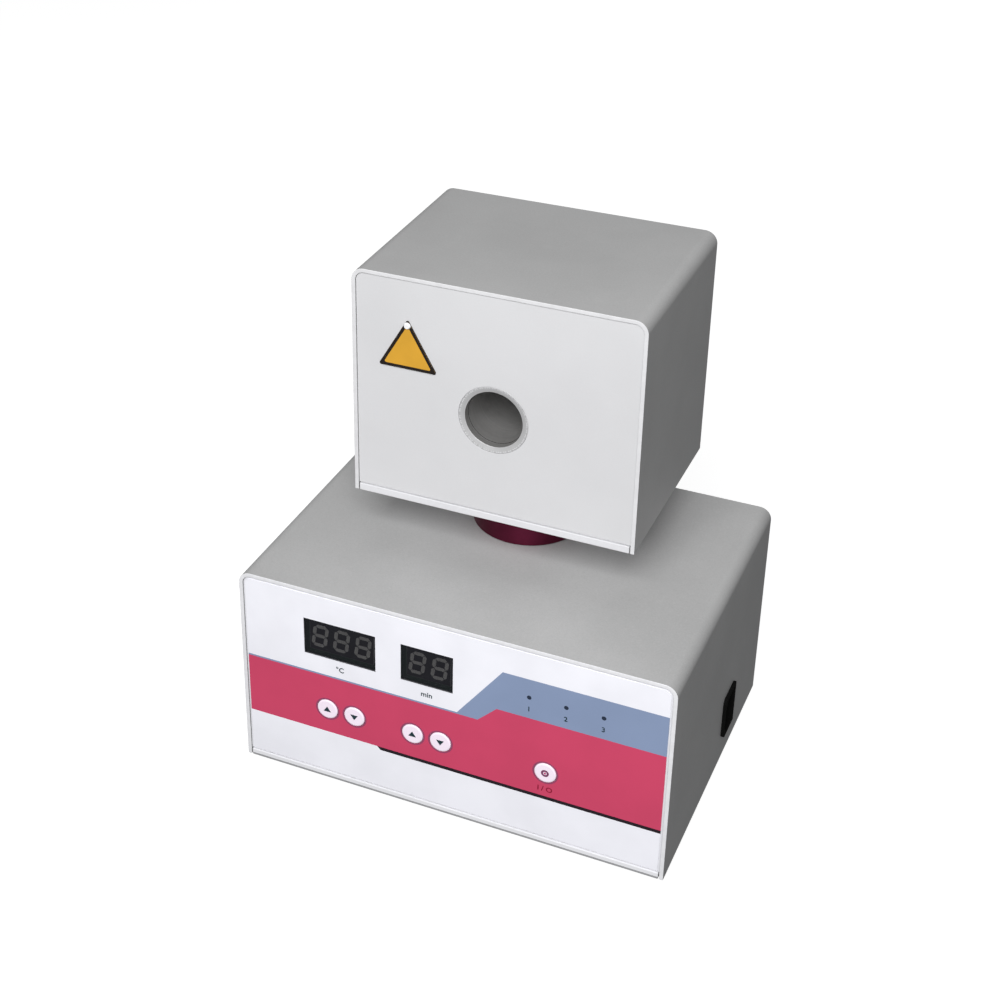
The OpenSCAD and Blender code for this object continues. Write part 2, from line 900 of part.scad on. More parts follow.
// Column and spindle
module swivel_column() {
    height = column_top - base_top;
    color("maroon") translate([0, column_y, 0]) difference() {
        translate([0, 0, base_top]) rotate_extrude($fn = 128) polygon([
            [spindle_r + running, 0], [column_r - column_chamfer, 0], [column_r, column_chamfer],
            [column_r, height - column_chamfer], [column_r - column_chamfer, height],
            [spindle_r + running, height]
        ]);
        translate([0, -column_y, 0]) at_column_screws(base_top - over)
            cylinder(r = column_screw_r, h = column_screw_depth + over);
        translate([0, 0, column_top - stop_depth - stop_room]) {
            rotate([0, 0, -90 - swing]) rotate_extrude(angle = 2 * swing)
                translate([stop_pcr - stop_pin_r - stop_room, 0])
                    square([2 * (stop_pin_r + stop_room), stop_depth + stop_room + over]);
            for (a = [-90 - swing, -90 + swing])
                rotate([0, 0, a]) translate([stop_pcr, 0, 0])
                    cylinder(r = stop_pin_r + stop_room, h = stop_depth + stop_room + over);
        }
    }
}

module column_plate() {
    color("silver") difference() {
        translate([0, column_y, plate_low + plate_t / 2])
            cube([plate_side, plate_side, plate_t], center = true);
        translate([0, column_y, plate_low - over])
            cylinder(r = spindle_r + over, h = plate_t + 2 * over);
        at_column_screws(plate_low - over)
            cylinder(r = column_screw_r + seat_gap, h = plate_t + 2 * over);
    }
}

module column_screws() {
    color("silver") at_column_screws(plate_low)
        screw_up(column_screw_r, plate_t + sheet_t + column_screw_depth - column_screw_free,
                 column_head_r, column_head_t);
}

module swivel_spindle() {
    top = head_deck + spindle_flange_t;
    color("silver") translate([0, column_y, 0]) difference() {
        union() {
            translate([0, 0, spindle_end]) cylinder(r = spindle_r, h = top - spindle_end);
            translate([0, 0, head_deck]) cylinder(r = spindle_flange_r, h = spindle_flange_t);
        }
        translate([0, 0, spindle_end - over])
            cylinder(r = spindle_r - spindle_wall, h = top - spindle_end + 2 * over);
        at_spindle_screws(head_deck - over)
            cylinder(r = screw_r + running, h = spindle_flange_t + 2 * over);
    }
}

module at_spindle_screws(z) {
    for (a = [30, 150, 270])
        translate([spindle_screw_pcr * cos(a), spindle_screw_pcr * sin(a), z]) children();
}

module spindle_screws() {
    color("silver") translate([0, column_y, 0]) at_spindle_screws(head_deck + spindle_flange_t)
        rotate([180, 0, 0]) screw_up(screw_r, spindle_flange_t + tray_t, screw_head_r, screw_head_t);
}

module flat_ring(z, r_in, r_out, t) {
    translate([0, column_y, z]) difference() {
        cylinder(r = r_out, h = t);
        translate([0, 0, -over]) cylinder(r = r_in, h = t + 2 * over);
    }
}

module thrust_washer() {
    color("ivory") flat_ring(column_top, spindle_r + slip, washer_r, washer_t);
}

module spring_washer() {
    color("silver") flat_ring(plate_low - spring_t, spindle_r + slip, spindle_r + spring_rim, spring_t);
}

module spindle_nut() {
    color("goldenrod") translate([0, column_y, plate_low - spring_t - spindle_nut_t])
        hex_nut(spindle_r + running, 2 * (spindle_r + spindle_nut_rim), spindle_nut_t);
}

module stop_pin() {
    color("silver") translate([0, column_y - stop_pcr, column_top - stop_depth])
        cylinder(r = stop_pin_r, h = head_deck - column_top + stop_depth);
}

// Furnace head
module head_cover() {
    color("darkgray") cover_shell(head_w, head_front, head_d, head_z, head_h);
}

module head_tray() {
    color("gainsboro") difference() {
        tray_shell(head_w, head_front, head_d, head_z, head_tab_x);
        translate([0, column_y, head_under - over]) {
            cylinder(r = spindle_r + seat_gap, h = tray_t + 2 * over);
            at_spindle_screws(0) cylinder(r = screw_r + running, h = tray_t + 2 * over);
            translate([0, -stop_pcr, 0]) cylinder(r = stop_pin_r, h = tray_t + 2 * over);
        }
        at_bracket_screws(head_under - over) cylinder(r = screw_r + running, h = tray_t + 2 * over);
    }
}

module head_front_panel() {
    color("gainsboro") difference() {
        panel_shell(head_w, head_face, head_z, head_h, head_tab_x, 1);
        rod_y(0, head_face - over, bore_mid, ring_nose_r + seat_gap, panel_t + 2 * over);
        rod_y(-tag_x, head_face - over, rivet_z(), rivet_shank_r, panel_t + 2 * over);
    }
}

module head_back_panel() {
    y = head_front + head_d - panel_recess - panel_t;
    color("gainsboro") difference() {
        panel_shell(head_w, y, head_z, head_h, head_tab_x, -1);
        upright(y - over, panel_t + 2 * over)
            vent_slots(head_w, head_vent_margin, head_z + head_h / 2 + vent_up);
    }
}

module head_screws() {
    color("silver") box_screws(head_w, head_front, head_d, head_z, head_tab_x);
}

module head_nuts() {
    color("silver") box_nuts(head_w, head_front, head_d, head_z, head_tab_x);
}

// Pale ring that fills the panel's hole around the bore, with a rim that slopes in
module mouth_ring() {
    inner = bore_r + ring_bore_gap;
    lip = bore_r + mouth_rim;
    color("whitesmoke") translate([0, head_face, bore_mid]) rotate([-90, 0, 0])
        rotate_extrude($fn = 128) polygon([
            [inner, ring_t], [ring_flange_r, ring_t], [ring_flange_r, panel_t],
            [ring_nose_r, panel_t], [ring_nose_r, 0], [lip, 0], [inner, mouth_slope]
        ]);
}

// Turned block with a blind bore, a spigot at each end and a hole for the probe
module heating_block() {
    color("dimgray") translate([0, block_front, bore_mid]) rotate([-90, 0, 0]) difference() {
        rotate_extrude($fn = 128) polygon([
            [bore_r, 0], [spigot_r, 0], [spigot_r, spigot_len], [block_r, spigot_len],
            [block_r, block_len - spigot_len], [spigot_r, block_len - spigot_len],
            [spigot_r, block_len], [0, block_len], [0, bore_depth], [bore_r, bore_depth]
        ]);
        translate([probe_place, 0, block_len - probe_depth])
            cylinder(r = probe_r + seat_gap, h = probe_depth + over);
    }
}

// Each band is open at the top, where a screw pulls its two ears together
module band_heaters() {
    color("peru") for (i = [0, 1])
        translate([0, body_front + heater_gap + i * (heater_w + heater_gap), bore_mid]) difference() {
            union() {
                rod_y(0, 0, 0, heater_r, heater_w);
                translate([-heater_split / 2 - ear_t, 0, 0])
                    cube([heater_split + 2 * ear_t, heater_w, heater_r + ear_h]);
            }
            rod_y(0, -over, 0, block_r, heater_w + 2 * over);
            translate([-heater_split / 2, -over, 0])
                cube([heater_split, heater_w + 2 * over, heater_r + ear_h + over]);
            translate([0, heater_w / 2, heater_r + ear_h / 2]) rotate([0, 90, 0])
                cylinder(r = screw_r + seat_gap, h = heater_split + 4 * ear_t, center = true);
        }
}

module band_screws() {
    grip = heater_split + 2 * ear_t;
    color("silver") for (i = [0, 1])
        translate([0, body_front + heater_gap + heater_w / 2 + i * (heater_w + heater_gap),
                   bore_mid + heater_r + ear_h / 2]) rotate([0, 90, 0]) {
            cylinder(r = screw_r, h = grip + 2 * nut_t, center = true);
            translate([0, 0, grip / 2]) cylinder(r = screw_head_r, h = screw_head_t);
            translate([0, 0, -grip / 2 - nut_t]) cylinder(r = nut_flats / 2 / cos(30), h = nut_t, $fn = 6);
        }
}

module insulation_sleeve() {
    color("linen") translate([0, body_front + slip, bore_mid]) difference() {
        rod_y(0, 0, 0, sleeve_out, body_len - 2 * slip);
        rod_y(0, -over, 0, sleeve_in, body_len + 2 * over);
        translate([-sleeve_slot / 2, -over, 0]) cube([sleeve_slot, body_len + 2 * over, sleeve_out + over]);
    }
}

module at_bracket_screws(z) {
    for (x = [-bracket_screw_x, bracket_screw_x],
         y = [body_front + bracket_foot / 2, body_front + body_len - bracket_foot / 2])
        translate([x, y, z]) children();
}

// Bracket that carries one spigot; its foot points to the middle of the head
module block_bracket(y, foot_y0) {
    rim_r = spigot_r + bracket_rim;
    upright(y, bracket_t) difference() {
        union() {
            translate([-rim_r, head_deck]) square([2 * rim_r, bore_z - sheet_t - tray_t]);
            translate([0, bore_mid]) circle(rim_r);
        }
        translate([0, bore_mid]) circle(spigot_r + seat_gap);
        translate([-bracket_notch, head_deck - over])
            square([2 * bracket_notch, loom_level + loom_r + over + 1 - head_deck]);
    }
    for (side = [-1, 1])
        translate([side > 0 ? bracket_notch : -rim_r, foot_y0, head_deck])
            cube([rim_r - bracket_notch, bracket_foot, bracket_t]);
}

module block_brackets() {
    back = body_front + body_len;
    color("lightgray") difference() {
        union() {
            block_bracket(body_front - bracket_t, body_front - bracket_t / 2);
            block_bracket(back, back + bracket_t / 2 - bracket_foot);
        }
        at_bracket_screws(head_deck - over) cylinder(r = screw_r + running, h = bracket_t + 2 * over);
    }
}

// These go down into the tray, so that nothing stands out over the column
module bracket_screws() {
    color("silver") at_bracket_screws(head_deck + bracket_t)
        rotate([180, 0, 0]) screw_up(screw_r, bracket_t + tray_t, screw_head_r, screw_head_t);
}

module temperature_probe() {
    color("silver") {
        rod_y(probe_place, block_back - probe_depth + 1, bore_mid, probe_r, probe_depth - 1 + probe_tail);
        rod_y(probe_place, block_back, bore_mid, 2 * probe_r, probe_nut_t);
    }
}

module thermal_cutout() {
    color("tan") {
        rod_y(0, block_back, bore_mid, cutout_r, cutout_t);
        for (x = [-blade_x, blade_x])
            translate([x, block_back + cutout_t + blade_side / 2, bore_mid])
                cube([blade_t, blade_side, blade_side], center = true);
    }
}

module heater_terminal() {
    color("white") translate([0, heater_terminal_y, head_deck]) difference() {
        translate([-heater_terminal_w / 2, 0, 0])
            cube([heater_terminal_w, heater_terminal_t, heater_terminal_h]);
        for (x = [-heater_terminal_w / 4, heater_terminal_w / 4])
            translate([x, heater_terminal_t / 2, heater_terminal_h * 0.7])
                cylinder(r = heater_terminal_hole_r, h = heater_terminal_h);
    }
}

// Lead in its sleeve: up through the spindle, then back under the furnace
module heater_loom() {
    low = power_top + terminal_h;
    run = heater_terminal_y - column_y - loom_bend;
    color("darkred") translate([0, column_y, 0]) {
        translate([0, 0, low]) cylinder(r = loom_r, h = loom_level - loom_bend - low);
        translate([0, loom_bend, loom_level - loom_bend]) rotate([90, 0, -90])
            rotate_extrude(angle = 90) translate([loom_bend, 0]) circle(loom_r);
        rod_y(0, loom_bend, loom_level, loom_r, run);
    }
}

function rivet_z() = head_z + tag_z + tag_height - rivet_drop;

// Blank triangular tag with a rivet near its top corner
module tag_plate() {
    inset = tag_corner;
    base = tag_side - 2 * inset * sqrt(3);
    color("orange") difference() {
        upright(head_face - tag_t, tag_t) translate([-tag_x, head_z + tag_z + inset]) hull()
            for (p = [[-base / 2, 0], [base / 2, 0], [0, base * sin(60)]])
                translate(p) circle(tag_corner, $fn = 32);
        rod_y(-tag_x, head_face - tag_t - over, rivet_z(), rivet_shank_r, tag_t + 2 * over);
    }
}

module tag_rivet() {
    color("white") {
        rod_y(-tag_x, head_face - tag_t, rivet_z(), rivet_shank_r, tag_t + panel_t);
        translate([-tag_x, head_face - tag_t, rivet_z()]) rotate([90, 0, 0])
            cylinder(r1 = rivet_r, r2 = rivet_r * 0.7, h = rivet_head_t);
        rod_y(-tag_x, head_inside, rivet_z(), rivet_r, rivet_head_t);
    }
}

base_cover();
base_tray();
base_front_panel();
base_back_panel();
base_feet();
foot_screws();
base_screws();
base_nuts();
front_film();
temperature_window();
time_window();
temperature_display();
time_display();
key_temperature_up();
key_temperature_down();
key_time_up();
key_time_down();
key_power();
key_switches();
indicator_lamps();
control_board();
board_spacers();
board_screws();
mains_inlet();
inlet_pins();
power_board();
power_board_spacers();
mains_transformer();
heater_relay();
fuse_holder();
loom_terminal();
swivel_column();
column_plate();
column_screws();
swivel_spindle();
spindle_screws();
thrust_washer();
spring_washer();
spindle_nut();
stop_pin();
head_cover();
head_tray();
head_front_panel();
head_back_panel();
head_screws();
head_nuts();
mouth_ring();
heating_block();
band_heaters();
band_screws();
insulation_sleeve();
block_brackets();
bracket_screws();
temperature_probe();
thermal_cutout();
heater_terminal();
heater_loom();
tag_plate();
tag_rivet();
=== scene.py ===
# %% [markdown]
# # A bench furnace for denture resin
#
# The real object is a laboratory machine in two sheet metal boxes. The lower box holds the controls.
# The upper one is a furnace head that turns on a round column, with a bore that heats a cartridge of
# resin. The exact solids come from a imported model, which fixes every size and place. This lesson
# dresses them: each surface gets its finish, and the pieces that need rounder edges, prints or small
# details are built again around the same sizes.
#
# Lengths are metres, the front faces -Y, and the object stands on z = 0.

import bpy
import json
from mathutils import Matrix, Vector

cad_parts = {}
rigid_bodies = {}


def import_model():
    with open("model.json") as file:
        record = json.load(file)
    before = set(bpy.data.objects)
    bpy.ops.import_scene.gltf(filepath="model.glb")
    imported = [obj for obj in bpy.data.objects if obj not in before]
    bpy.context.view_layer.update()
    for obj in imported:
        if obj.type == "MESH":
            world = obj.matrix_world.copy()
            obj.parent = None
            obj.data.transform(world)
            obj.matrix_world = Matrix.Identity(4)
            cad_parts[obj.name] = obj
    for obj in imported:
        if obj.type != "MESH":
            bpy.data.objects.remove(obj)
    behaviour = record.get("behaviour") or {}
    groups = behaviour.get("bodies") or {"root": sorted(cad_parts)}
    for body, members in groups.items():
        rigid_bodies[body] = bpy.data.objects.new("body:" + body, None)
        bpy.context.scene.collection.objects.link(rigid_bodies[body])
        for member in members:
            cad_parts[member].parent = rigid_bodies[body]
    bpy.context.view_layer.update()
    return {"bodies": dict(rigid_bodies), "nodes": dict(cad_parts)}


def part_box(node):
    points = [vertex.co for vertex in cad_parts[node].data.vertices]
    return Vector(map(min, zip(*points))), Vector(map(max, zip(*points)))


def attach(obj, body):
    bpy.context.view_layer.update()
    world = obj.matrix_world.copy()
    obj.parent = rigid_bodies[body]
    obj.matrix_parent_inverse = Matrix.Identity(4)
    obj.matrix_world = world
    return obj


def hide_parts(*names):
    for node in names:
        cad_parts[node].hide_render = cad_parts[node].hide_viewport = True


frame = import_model()

# %% Tools of the lesson
import json
import math

import bmesh
import bpy
from mathutils import Matrix, Vector
from mathutils.geometry import tessellate_polygon

MM = 0.001
FACE_MARGIN = 0.02 * MM
NODES = frame["nodes"]
base_low, base_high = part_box("base_cover")
head_low, head_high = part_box("head_cover")
print("control box", [round(v / MM, 1) for v in base_high - base_low])
print("furnace head", [round(v / MM, 1) for v in head_high - head_low])

# %% [markdown]
# ## The camera
#
# A photograph of the machine was matched by its corners, which gave the place of the camera, its
# lens and its small tilt. The picture was cropped from a larger one, so the middle of the lens is
# not in the middle of the frame. A modest lens shift carries that, and keeps the object whole when the
# camera moves to another side.

# %% Place the camera
CAMERA_PLACE = Vector((0.2942, -0.7802, 0.6764))
AZIMUTH, ELEVATION, ROLL = 25.57, 28.24, -0.67
FOCAL_PIXELS, FRAME_PIXELS, SENSOR_MM = 1804, 1000, 36
LENS_SHIFT = 0.12


def camera_turn(azimuth, elevation, roll):
    """The rotation of a camera or light that looks at the object: azimuth 0 is its front, 90 its
    right."""
    a, e, r = (math.radians(v) for v in (azimuth, elevation, roll))
    ahead = Vector((-math.sin(a) * math.cos(e), math.cos(a) * math.cos(e), -math.sin(e)))
    right = Vector((math.cos(a), math.sin(a), 0))
    up = right.cross(ahead)
    right, up = (math.cos(r) * right + math.sin(r) * up, -math.sin(r) * right + math.cos(r) * up)
    return Matrix((right, up, -ahead)).transposed()


camera_data = bpy.data.cameras.new("bench_camera")
camera_data.sensor_width = SENSOR_MM
camera_data.lens = FOCAL_PIXELS * SENSOR_MM / FRAME_PIXELS
camera_data.shift_x, camera_data.shift_y = LENS_SHIFT, -LENS_SHIFT
camera = bpy.data.objects.new("bench_camera", camera_data)
camera.matrix_world = (
    Matrix.Translation(CAMERA_PLACE) @ camera_turn(AZIMUTH, ELEVATION, ROLL).to_4x4()
)
bpy.context.collection.objects.link(camera)
bpy.context.scene.camera = camera
print(f"lens {camera_data.lens:.1f} mm")

# %% [markdown]
# ## Shader arithmetic
#
# A finish is a tree of shader nodes. Wiring them one by one hides what they compute, so a small class
# wraps a socket and lets Python's own signs add the Math nodes. Every other node comes from one method
# that takes the node's type, its settings and the values or links of its sockets.


# %% A socket that calculates, and the finish it belongs to
class Signal:
    """One output socket of a finish, which takes part in Python arithmetic."""

    def __init__(self, finish, socket):
        self.finish, self.socket = finish, socket

    def math(self, operation, *values):
        return self.finish.node("ShaderNodeMath", {"operation": operation}, dict(enumerate(values)))

    def __add__(self, other):
        return self.math("ADD", self, other)

    def __sub__(self, other):
        return self.math("SUBTRACT", self, other)

    def __rsub__(self, other):
        return self.math("SUBTRACT", other, self)

    def __mul__(self, other):
        return self.math("MULTIPLY", self, other)

    def __pow__(self, other):
        return self.math("POWER", self, other)

    def __lt__(self, other):
        return self.math("LESS_THAN", self, other)

    def span(self, low, high):
        """Maps low..high to 0..1 with soft ends, and holds outside."""
        return self.finish.node(
            "ShaderNodeMapRange",
            {"interpolation_type": "SMOOTHSTEP"},
            {"Value": self, "From Min": low, "From Max": high},
        )

    __radd__ = __add__


class Finish:
    """A material for one kind of surface, with helpers for what its tree repeats."""

    def __init__(self, name):
        self.material = bpy.data.materials.new(name)
        self.material.use_nodes = True
        self.tree = self.material.node_tree
        self.surface = self.tree.nodes["Principled BSDF"]
        self.place = self.node("ShaderNodeTexCoord", output="Object")
        self.x, self.y, self.z = (
            self.node("ShaderNodeSeparateXYZ", inputs={0: self.place}, output=i) for i in range(3)
        )

    def node(self, kind, settings=None, inputs=None, output=0):
        """Adds a node and returns one of its outputs."""
        made = self.tree.nodes.new(kind)
        for key, value in (settings or {}).items():
            setattr(made, key, value)
        for key, value in (inputs or {}).items():
            self.feed(made.inputs[key], value)
        return Signal(self, made.outputs[output])

    def feed(self, socket, value):
        if isinstance(value, Signal):
            self.tree.links.new(value.socket, socket)
        elif socket.type == "RGBA":
            socket.default_value = (*value, 1)
        else:
            socket.default_value = value

    def noise(self, size, detail=2.0, rough=0.5, where=None):
        """Cloudy values around 0.5 whose patches are about size metres wide."""
        return self.node(
            "ShaderNodeTexNoise",
            inputs={"Vector": where or self.place, "Scale": 1 / size, "Detail": detail,
                    "Roughness": rough},
        )

    def stretched(self, *scale):
        """Object coordinates scaled along each axis, for grain that runs one way."""
        return self.node("ShaderNodeMapping", inputs={"Vector": self.place, "Scale": scale})

    def mix(self, factor, a, b):
        """Colour a where factor is 0, and colour b where it is 1."""
        return self.node("ShaderNodeMix", {"data_type": "RGBA"}, {0: factor, 6: a, 7: b}, output=2)

    def relief(self, height, depth, strength=1.0):
        """The normal of a surface with relief; height 0..1 stands for 0..depth metres."""
        return self.node(
            "ShaderNodeBump", inputs={"Strength": strength, "Distance": depth, "Height": height}
        )

    def done(self, **sockets):
        """Sets the surface's sockets, named in plain words, and returns the material."""
        for key, value in sockets.items():
            title = key.replace("_", " ").title().replace("Ior", "IOR")
            self.feed(self.surface.inputs[title], value)
        return self.material


def tone(red, green, blue):
    """A display colour of 0..255 as the linear light that shaders use, by the sRGB curve."""
    return tuple(
        v / 12.92 if v <= 0.04045 else ((v + 0.055) / 1.055) ** 2.4
        for v in (red / 255, green / 255, blue / 255)
    )


def shade(colour, share):
    """The colour made darker or lighter by a share of itself."""
    return tuple(min(1.0, v * share) for v in colour)


print("a mid grey in linear light:", [round(v, 3) for v in tone(180, 180, 180)])

# %% [markdown]
# ## The studio
#
# In the photograph the light comes from a large soft source above the camera, a little to the left of
# it: the fronts and tops are bright, the right sides dim, and the gap under the head hardly shadowed.
# One broad area light gives that, two weaker ones keep the back and the left side readable, and a dim
# sky fills in. The floor is a plain pale plane, which isn't part of the object. The paper sweep of a
# studio is lit on its own and kept from glowing back on the object, so here the floor shines by
# itself, and diffuse and glossy rays pass it by.

# %% Floor, sky and lights
bpy.context.scene.view_settings.view_transform = "Standard"
FLOOR_HALF, FLOOR_GLOW = 12.0, 0.85
floor_mesh = bpy.data.meshes.new("studio_floor")
floor_mesh.from_pydata(
    [(x * FLOOR_HALF, y * FLOOR_HALF, 0) for x, y in ((-1, -1), (1, -1), (1, 1), (-1, 1))],
    [], [(0, 1, 2, 3)],
)
floor = bpy.data.objects.new("studio_floor", floor_mesh)
bpy.context.collection.objects.link(floor)
floor.visible_diffuse = floor.visible_glossy = False
paper = Finish("studio_paper")
floor_mesh.materials.append(
    paper.done(
        base_color=paper.mix(paper.noise(0.8, 3), (0.34, 0.34, 0.34), (0.36, 0.36, 0.36)),
        roughness=0.9,
        emission_color=(1, 1, 1),
        emission_strength=FLOOR_GLOW,
        normal=paper.relief(paper.noise(3 * MM), 0.05 * MM),
    )
)

SKY_LIGHT, SKY_SEEN = 0.16, 1.0
sky = bpy.data.worlds.new("studio_sky")
sky.use_nodes = True
bpy.context.scene.world = sky
links, shaders = sky.node_tree.links, sky.node_tree.nodes
lighting = shaders["Background"]
lighting.inputs["Color"].default_value = (0.98, 0.99, 1.0, 1)
lighting.inputs["Strength"].default_value = SKY_LIGHT
seen = shaders.new("ShaderNodeBackground")
seen.inputs["Strength"].default_value = SKY_SEEN
rays, choice = shaders.new("ShaderNodeLightPath"), shaders.new("ShaderNodeMixShader")
links.new(rays.outputs["Is Camera Ray"], choice.inputs[0])
links.new(lighting.outputs[0], choice.inputs[1])
links.new(seen.outputs[0], choice.inputs[2])
links.new(choice.outputs[0], shaders["World Output"].inputs["Surface"])

LIT_MIDDLE = Vector((0, 0, 0.15))


def soft_box(name, azimuth, elevation, distance, size, strength):
    """A square area light that faces the object's middle. A white card there, turned to it, would
    be strength times as bright as white."""
    data = bpy.data.lights.new(name, "AREA")
    data.shape, data.size = "SQUARE", size
    data.energy = strength * (math.pi * distance) ** 2
    light = bpy.data.objects.new(name, data)
    turned = camera_turn(azimuth, elevation, 0)
    place = LIT_MIDDLE + turned.col[2] * distance
    light.matrix_world = Matrix.Translation(place) @ turned.to_4x4()
    bpy.context.collection.objects.link(light)


soft_box("front_box", azimuth=11, elevation=39, distance=1.6, size=0.9, strength=1.29)
soft_box("back_box", azimuth=180, elevation=4, distance=2.2, size=0.7, strength=0.18)
soft_box("left_box", azimuth=262, elevation=4, distance=2.2, size=0.7, strength=0.14)

# %% [markdown]
# ## Finishes of the outside
#
# Powder paint isn't one flat colour. It has soft clouds where the coat is thicker, a fine grain, and a
# skin like an orange's that breaks up reflections. The covers are cut after they are painted on the
# real machine, so the edge that faces the front is pale, and one mask on the depth gives it. The same
# mask, limited in height too, paints a dark band of shade along the lower edge of the control box's
# tray.


# %% Paints
ABOVE_ALL = 10.0


def powder_paint(name, colour, cloud=0.04, grain=0.13, rough=0.4, rim_or_shade_colour=None, rim_depth=0,
                 rim_height=ABOVE_ALL):
    """Powder paint; what lies before rim_depth and below rim_height gets rim_or_shade_colour, which is
    a pale cut edge on the covers and a band of painted shade on the tray.
    """
    paint = Finish(name)
    clouds = paint.noise(55 * MM, 3).span(0.3, 0.7)
    speckle = paint.noise(0.8 * MM, 3, 0.7)
    dust = paint.noise(9 * MM, 4, 0.7).span(0.55, 0.8)
    body = paint.mix(clouds, shade(colour, 1 - cloud), shade(colour, 1 + cloud))
    body = paint.mix(speckle.span(0.5, 0.8) * grain * 4, body, shade(colour, 1.25))
    body = paint.mix(speckle.span(0.5, 0.2) * grain * 4, body, shade(colour, 0.75))
    body = paint.mix(dust * 0.05, body, (0.8, 0.8, 0.78))
    if rim_or_shade_colour:
        worn = paint.noise(4 * MM, 3, 0.6).span(0.35, 0.65)
        edge = paint.mix(worn, rim_or_shade_colour, shade(rim_or_shade_colour, 0.94))
        # Before rim_depth and below rim_height: the pale cut rim, or the tray's band of painted shade.
        body = paint.mix((paint.y < rim_depth) * (paint.z < rim_height), body, edge)
    skin = paint.noise(1.1 * MM, 2, 0.5) + speckle * 0.35
    return paint.done(
        base_color=body,
        roughness=rough + speckle * 0.12 - dust * 0.03,
        normal=paint.relief(skin, 0.035 * MM, 0.5),
    )


COVER_TONE = tone(176, 176, 176)
# The head's rim and tray use the control box's paints made darker: painted shade against the stronger
# light on the head.
BASE_RIM_TONE, HEAD_RIM_SHADED_TONE = tone(229, 229, 232), tone(217, 217, 219)
PANEL_TONE, FRONT_TONE = tone(207, 207, 209), tone(220, 220, 225)
BASE_TRAY_TONE, HEAD_TRAY_SHADED_TONE = tone(230, 230, 234), tone(216, 216, 219)
RIM_DEPTH, LIP_SHADE_BAND = 0.16 * MM, 1.5 * MM
base_paint = powder_paint(
    "base_cover_paint", COVER_TONE, rim_or_shade_colour=BASE_RIM_TONE, rim_depth=base_low.y + RIM_DEPTH
)
head_paint = powder_paint(
    "head_cover_paint", COVER_TONE, rim_or_shade_colour=HEAD_RIM_SHADED_TONE, rim_depth=head_low.y + RIM_DEPTH
)
panel_coat = {"cloud": 0.02, "grain": 0.02, "rough": 0.42}
tray_coat = {"cloud": 0.02, "grain": 0.03, "rough": 0.45}
panel_paint = powder_paint("panel_paint", PANEL_TONE, **panel_coat)
front_paint = powder_paint("base_front_paint", FRONT_TONE, **panel_coat)
# The dark band at the lower front edge of this tray is painted shade: the contact line under the box.
base_tray_paint = powder_paint(
    "base_tray_paint", BASE_TRAY_TONE, **tray_coat, rim_or_shade_colour=shade(BASE_TRAY_TONE, 0.42),
    rim_depth=base_low.y + LIP_SHADE_BAND, rim_height=base_low.z + LIP_SHADE_BAND
)
head_tray_paint = powder_paint("head_tray_paint", HEAD_TRAY_SHADED_TONE, **tray_coat)
print("paints for the covers, the panels and the trays")

# %% [markdown]
# The front of the control box is a printed polycarbonate film. Its inks lie under a satin surface, so
# every field has the same sheen and a different colour. The windows are smoked acrylic: a dark body
# that lets part of the light through, so the unlit digits behind it show faintly.


# %% Film, windows and keys
def printed_film(name, colour, rough=0.36):
    """Ink under a satin film: faint clouds from the screen print, and a fine etched surface."""
    film = Finish(name)
    clouds = film.noise(30 * MM, 3).span(0.3, 0.7)
    dots = film.noise(0.35 * MM, 2)
    body = film.mix(clouds, shade(colour, 0.97), shade(colour, 1.03))
    body = film.mix(dots.span(0.3, 0.7) * 0.06, body, shade(colour, 0.8))
    return film.done(
        base_color=body,
        roughness=rough + dots * 0.1,
        normal=film.relief(dots, 0.02 * MM, 0.35),
        coat_weight=0.15,
    )


def moulded(name, colour, rough=0.4, grain=0.02, cloud=0.05, scuff=0.05, shine=0.5):
    """Moulded plastic, enamel or rubber: even colour, a fine texture and light scuffs."""
    part = Finish(name)
    clouds = part.noise(18 * MM, 3).span(0.3, 0.7)
    spark = part.noise(0.4 * MM, 2, 0.6)
    scuffs = part.noise(0.8 * MM, 3, 0.7, part.stretched(1, 1, 6)).span(0.62, 0.8)
    body = part.mix(clouds, shade(colour, 1 - cloud), shade(colour, 1 + cloud))
    body = part.mix(scuffs * scuff, body, tone(170, 170, 170))
    return part.done(
        base_color=body,
        roughness=rough + spark * 0.12 + scuffs * 0.1,
        normal=part.relief(spark, grain * MM, 0.5),
        specular_ior_level=shine,
    )


film_white = printed_film("film_white_ink", tone(243, 243, 250))
film_red = printed_film("film_red_ink", tone(204, 68, 102))
film_blue = printed_film("film_blue_ink", tone(134, 150, 181))
film_black = printed_film("film_black_ink", tone(30, 20, 28))
key_plastic = moulded("key_plastic", tone(250, 236, 250), 0.35, grain=0.01, cloud=0.01, scuff=0.03)
legend_ink = printed_film("legend_ink", tone(22, 48, 56), 0.5)
ring_ink = printed_film("key_ring_ink", tone(150, 66, 100), 0.45)
power_ink = printed_film("power_legend_ink", tone(120, 62, 98), 0.5)
dot_ink = printed_film("power_dot_ink", tone(190, 70, 120), 0.5)

smoke = Finish("smoked_acrylic")
haze = smoke.noise(25 * MM, 3)
fine = smoke.noise(1.5 * MM, 2).span(0.6, 0.8)
window_smoke = smoke.done(
    base_color=smoke.mix(haze, tone(30, 30, 35), tone(40, 40, 46)),
    roughness=0.16 + fine * 0.1,
    alpha=0.42 + haze * 0.08,
    normal=smoke.relief(haze, 0.05 * MM, 0.3),
)
print("film inks, legends, key plastic and smoked acrylic")

# %% [markdown]
# Metals take their look from how they were worked. Rolled or turned metal has fine lines that run one
# way, so its noise is stretched along that way, or wound round an axis. Coated metal is duller, with
# the small spangles of zinc.


